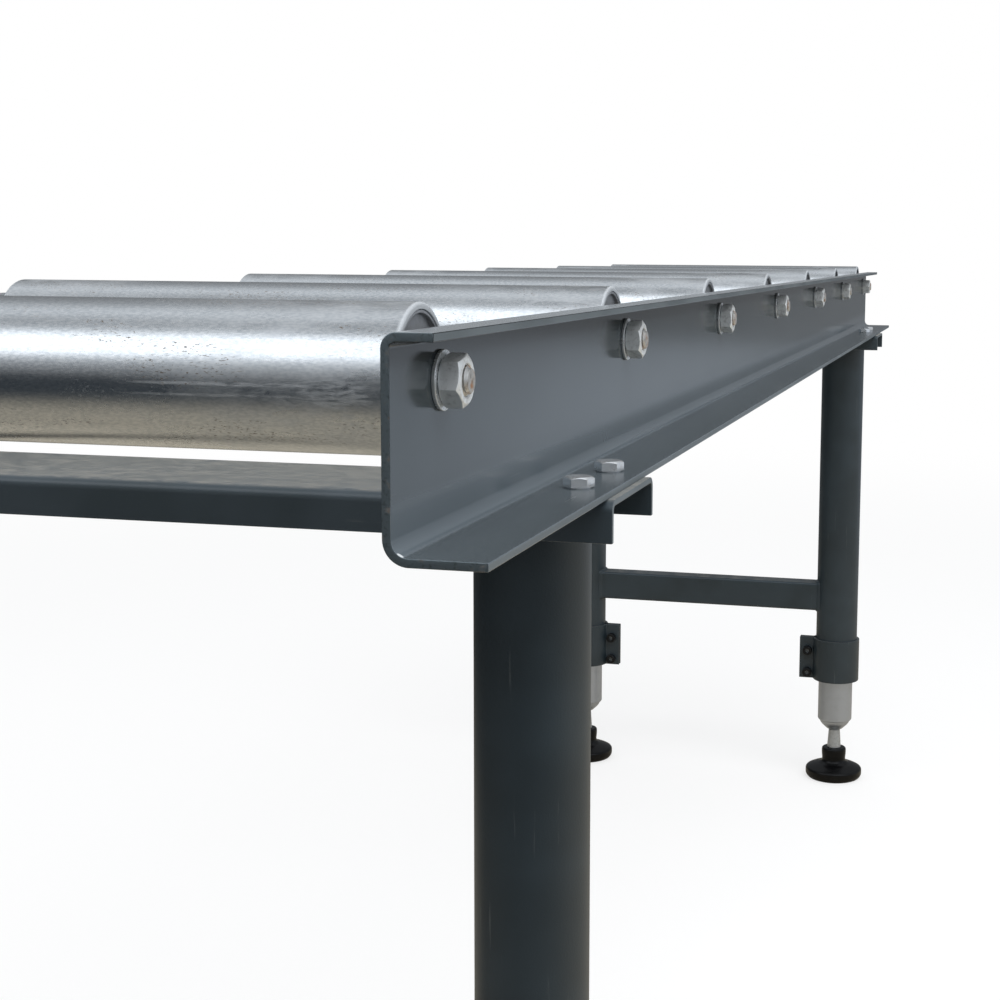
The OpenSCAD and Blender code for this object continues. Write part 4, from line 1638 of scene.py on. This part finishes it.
@dataclass
class Studio:
    """A pale floor, soft light from above and the camera at the photograph's viewing angle.

    Attributes:
        floor_glow: How much of the floor near the table is plain white to the camera.
        fade_m: From the first distance to the second, the rest of it fades into the background.
        front_m: Along the table, where the floor that metal sees turns from dark to grey.
        under_m: Where that grey turns warmer, under the table.
        left_m: Across the table, where the floor that metal sees turns from dark to grey.
        far_m: Where that floor turns into the far walls.
        far_right: How far sideways the lighter far wall begins, and where it is whole.
        right: How far sideways the right wall begins, and where it is whole.
        left: The same for the left wall.
    """

    focal_px: float = 1637.576
    centre_px: tuple[float, float] = (602.778, 447.295)
    picture_px: float = 1000.0
    yaw: float = 0.24042
    pitch: float = 0.11892
    roll: float = 0.00665
    eye_mm: Size = (-1540.56, -407.08, 754.44)
    sensor_mm: float = 36.0
    floor_m: float = 24.0
    floor_glow: float = 0.66
    fade_m: Edge = (1.6, 5.0)
    floor_front: str = "#9d9688"
    floor_under: str = "#beb5a4"
    floor_dark: str = "#353b41"
    front_m: Edge = (-2.1, -1.15)
    under_m: Edge = (-1.05, -0.8)
    left_m: Edge = (1.5, 0.7)
    far_m: Edge = (1.3, 2.6)
    far_right: Edge = (-0.06, -0.3)
    right: Edge = (-0.6, -0.9)
    left: Edge = (0.62, 0.95)
    far_wall: str = "#7c8185"
    far_right_wall: str = "#bfc8d3"
    right_wall: str = "#c3ccd7"
    left_wall: str = "#3d4145"
    plain_light: str = "#eceef0"
    ceiling_tint: Size = (1.9, 2.0, 2.12)
    softbox_watts: float = 62.0
    softbox_m: tuple[float, float] = (2.6, 2.0)
    softbox_at: Size = (-0.9, -1.1, 2.9)
    softbox_aim: Size = (0.0, 0.0, 0.4)

    def camera(self) -> None:
        """Sets the camera up as the photograph's was."""
        ahead = Vector((math.cos(self.yaw), math.sin(self.yaw), 0))
        look = ahead * math.cos(self.pitch) - Z * math.sin(self.pitch)
        level = Vector((ahead.y, -ahead.x, 0))
        rise_up = level.cross(look)
        right = math.cos(self.roll) * level + math.sin(self.roll) * rise_up
        top = math.cos(self.roll) * rise_up - math.sin(self.roll) * level
        data = bpy.data.cameras.new("camera")
        data.sensor_width, data.lens = self.sensor_mm, self.focal_px * self.sensor_mm / self.picture_px
        data.shift_x = (self.picture_px / 2 - self.centre_px[0]) / self.picture_px
        data.shift_y = (self.centre_px[1] - self.picture_px / 2) / self.picture_px
        data.clip_start, data.clip_end = 0.01, 100.0
        camera = stand("camera", data)
        facing = Matrix((right, top, -look)).transposed().to_4x4()
        camera.matrix_world = Matrix.Translation(Vector(self.eye_mm) * MM) @ facing
        bpy.context.scene.camera = camera

    def floor(self) -> None:
        """Lays a pale floor that keeps the table's shadow and fades into the white background.

        Metal and the other surfaces see it as the warm grey that it is, and far off as the studio's walls.
        """
        bm = bmesh.new()
        bmesh.ops.create_grid(bm, x_segments=2, y_segments=2, size=self.floor_m / 2)
        mesh = bpy.data.meshes.new("studio_floor")
        bm.to_mesh(mesh)
        bm.free()
        material = bpy.data.materials.new("pale_studio_floor")
        material.use_nodes = True
        tree = material.node_tree
        tree.nodes.clear()
        place = add_node(tree, "TexCoord", out="Object")
        away = add_node(tree, "VectorMath", {0: place}, out="Value", operation="LENGTH")
        white = add_node(tree, "Emission", {"Color": linear("#ffffff"), "Strength": 1.0})
        bare = add_node(tree, "BsdfDiffuse", {"Color": linear("#f6f6f6")})
        begins, whole = self.fade_m
        fade = {0: away, 1: begins, 2: whole, 3: self.floor_glow, 4: 1.0}
        fade = add_node(tree, "MapRange", fade, **STEP)
        seen = add_node(tree, "MixShader", {0: fade, 1: bare, 2: white})
        along = add_node(tree, "SeparateXYZ", {0: place}, out="X")
        across = add_node(tree, "SeparateXYZ", {0: place}, out="Y")
        front, under, far = (
            add_node(tree, "MapRange", {0: along, 1: begins, 2: whole}, **STEP)
            for begins, whole in (self.front_m, self.under_m, self.far_m)
        )
        begins, whole = self.left_m
        lit = add_node(tree, "MapRange", {0: across, 1: begins, 2: whole, 4: front}, **STEP)
        greys = {0: under, 6: linear(self.floor_front), 7: linear(self.floor_under)}
        warm = add_node(tree, "Mix", greys, **COLOURS)
        tone = add_node(tree, "Mix", {0: lit, 6: linear(self.floor_dark), 7: warm}, **COLOURS)
        grey = add_node(tree, "BsdfDiffuse", {"Color": tone})
        walls = add_node(tree, "Emission", {"Color": self.wall_tones(tree, place), "Strength": 1.0})
        mirrored = add_node(tree, "MixShader", {0: far, 1: grey, 2: walls})
        surface = add_node(tree, "MixShader", {0: self.looked_at(tree), 1: mirrored, 2: seen})
        add_node(tree, "OutputMaterial", {"Surface": surface})
        mesh.materials.append(material)
        stand("studio_floor", mesh)

    def looked_at(self, tree: Tree) -> Socket:
        """Whether a ray comes from the camera, straight or through glass, and not from a lit surface.

        Args:
            tree: The tree that gets the nodes.

        Returns:
            One or nothing.
        """
        straight = add_node(tree, "LightPath", out="Is Camera Ray")
        through = add_node(tree, "LightPath", out="Is Transmission Ray")
        return add_node(tree, "Math", {0: straight, 1: through}, operation="MAXIMUM")

    def wall_tones(self, tree: Tree, place: Socket) -> Socket:
        """How bright the studio's far walls are: dim beyond the rear end and lighter towards the right side.

        Args:
            tree: The tree that gets the nodes.
            place: A place on the floor, or a direction.

        Returns:
            The colour.
        """
        way = add_node(tree, "VectorMath", {0: place}, operation="NORMALIZE")
        aside = add_node(tree, "SeparateXYZ", {0: way}, out="Y")
        begins, whole = self.far_right
        near = add_node(tree, "MapRange", {0: aside, 1: begins, 2: whole}, **STEP)
        walls = {0: near, 6: linear(self.far_wall), 7: linear(self.far_right_wall)}
        return add_node(tree, "Mix", walls, **COLOURS)

    def backdrop(self) -> None:
        """A white background, which metal sees as a studio: a softbox over the camera and greyer walls.

        What isn't a mirror is lit by the same studio's even, plain light.
        """
        world = bpy.data.worlds.new("studio")
        world.use_nodes = True
        bpy.context.scene.world = world
        tree = world.node_tree
        tree.nodes.clear()
        way = add_node(tree, "TexCoord", out="Generated")
        parts = [add_node(tree, "SeparateXYZ", {0: way}, out=axis) for axis in "XYZ"]
        turn = add_node(tree, "Math", {0: parts[2], 1: parts[0]}, operation="ARCTAN2")
        turn = add_node(tree, "Math", {0: turn, 1: 1 / math.tau, 2: 0.5}, operation="MULTIPLY_ADD")
        levels = add_node(tree, "ValToRGB", {0: turn})
        ramp = levels.node.color_ramp
        ramp.elements.remove(ramp.elements[1])
        for number, (degrees, level) in enumerate(CEILING_LEVELS):
            at = (degrees + 180) / 360
            stop = ramp.elements[0] if number == 0 else ramp.elements.new(at)
            stop.position, stop.color = at, (level, level, level, 1)
        ceiling = add_node(tree, "VectorMath", {0: levels, 1: self.ceiling_tint}, operation="MULTIPLY")
        right, left = (
            add_node(tree, "MapRange", {0: parts[1], 1: begins, 2: whole}, **STEP)
            for begins, whole in (self.right, self.left)
        )
        walls = add_node(tree, "Mix", {0: right, 6: ceiling, 7: linear(self.right_wall)}, **COLOURS)
        mirrored = add_node(tree, "LightPath", out="Is Glossy Ray")
        walls = add_node(tree, "Mix", {0: mirrored, 6: linear(self.plain_light), 7: walls}, **COLOURS)
        walls = add_node(tree, "Mix", {0: left, 6: walls, 7: linear(self.left_wall)}, **COLOURS)
        looked_at = self.looked_at(tree)
        seen = add_node(tree, "Mix", {0: looked_at, 6: walls, 7: linear("#ffffff")}, **COLOURS)
        glow = add_node(tree, "Background", {"Color": seen, "Strength": 1.0})
        add_node(tree, "OutputWorld", {"Surface": glow})

    def lamps(self) -> None:
        """One large softbox over the camera."""
        data = bpy.data.lights.new("softbox", "AREA")
        data.shape, data.energy = "RECTANGLE", self.softbox_watts
        data.size, data.size_y = self.softbox_m
        lamp = stand("softbox", data)
        spot, aim = Vector(self.softbox_at), Vector(self.softbox_aim)
        turn = (aim - spot).to_track_quat("-Z", "Y").to_matrix().to_4x4()
        lamp.matrix_world = Matrix.Translation(spot) @ turn
        lamp.visible_glossy = False

    def build(self) -> None:
        """Sets up the camera, the floor, the background and the light."""
        self.camera()
        self.floor()
        self.backdrop()
        self.lamps()
        bpy.context.scene.view_settings.view_transform = "Standard"
        log.info("studio: camera at %s mm", self.eye_mm)


def main() -> None:
    """Builds the studio and every part of the table."""
    logging.basicConfig(level=logging.INFO, format="%(message)s")
    Studio().build()
    for side in Side:
        SideRail(side).build()
    Rollers().build()
    Axles().build()
    RailBolts().build()
    for end in End:
        Trestle(end).build()
    ClampFasteners().build()


if __name__ == "__main__":
    main()
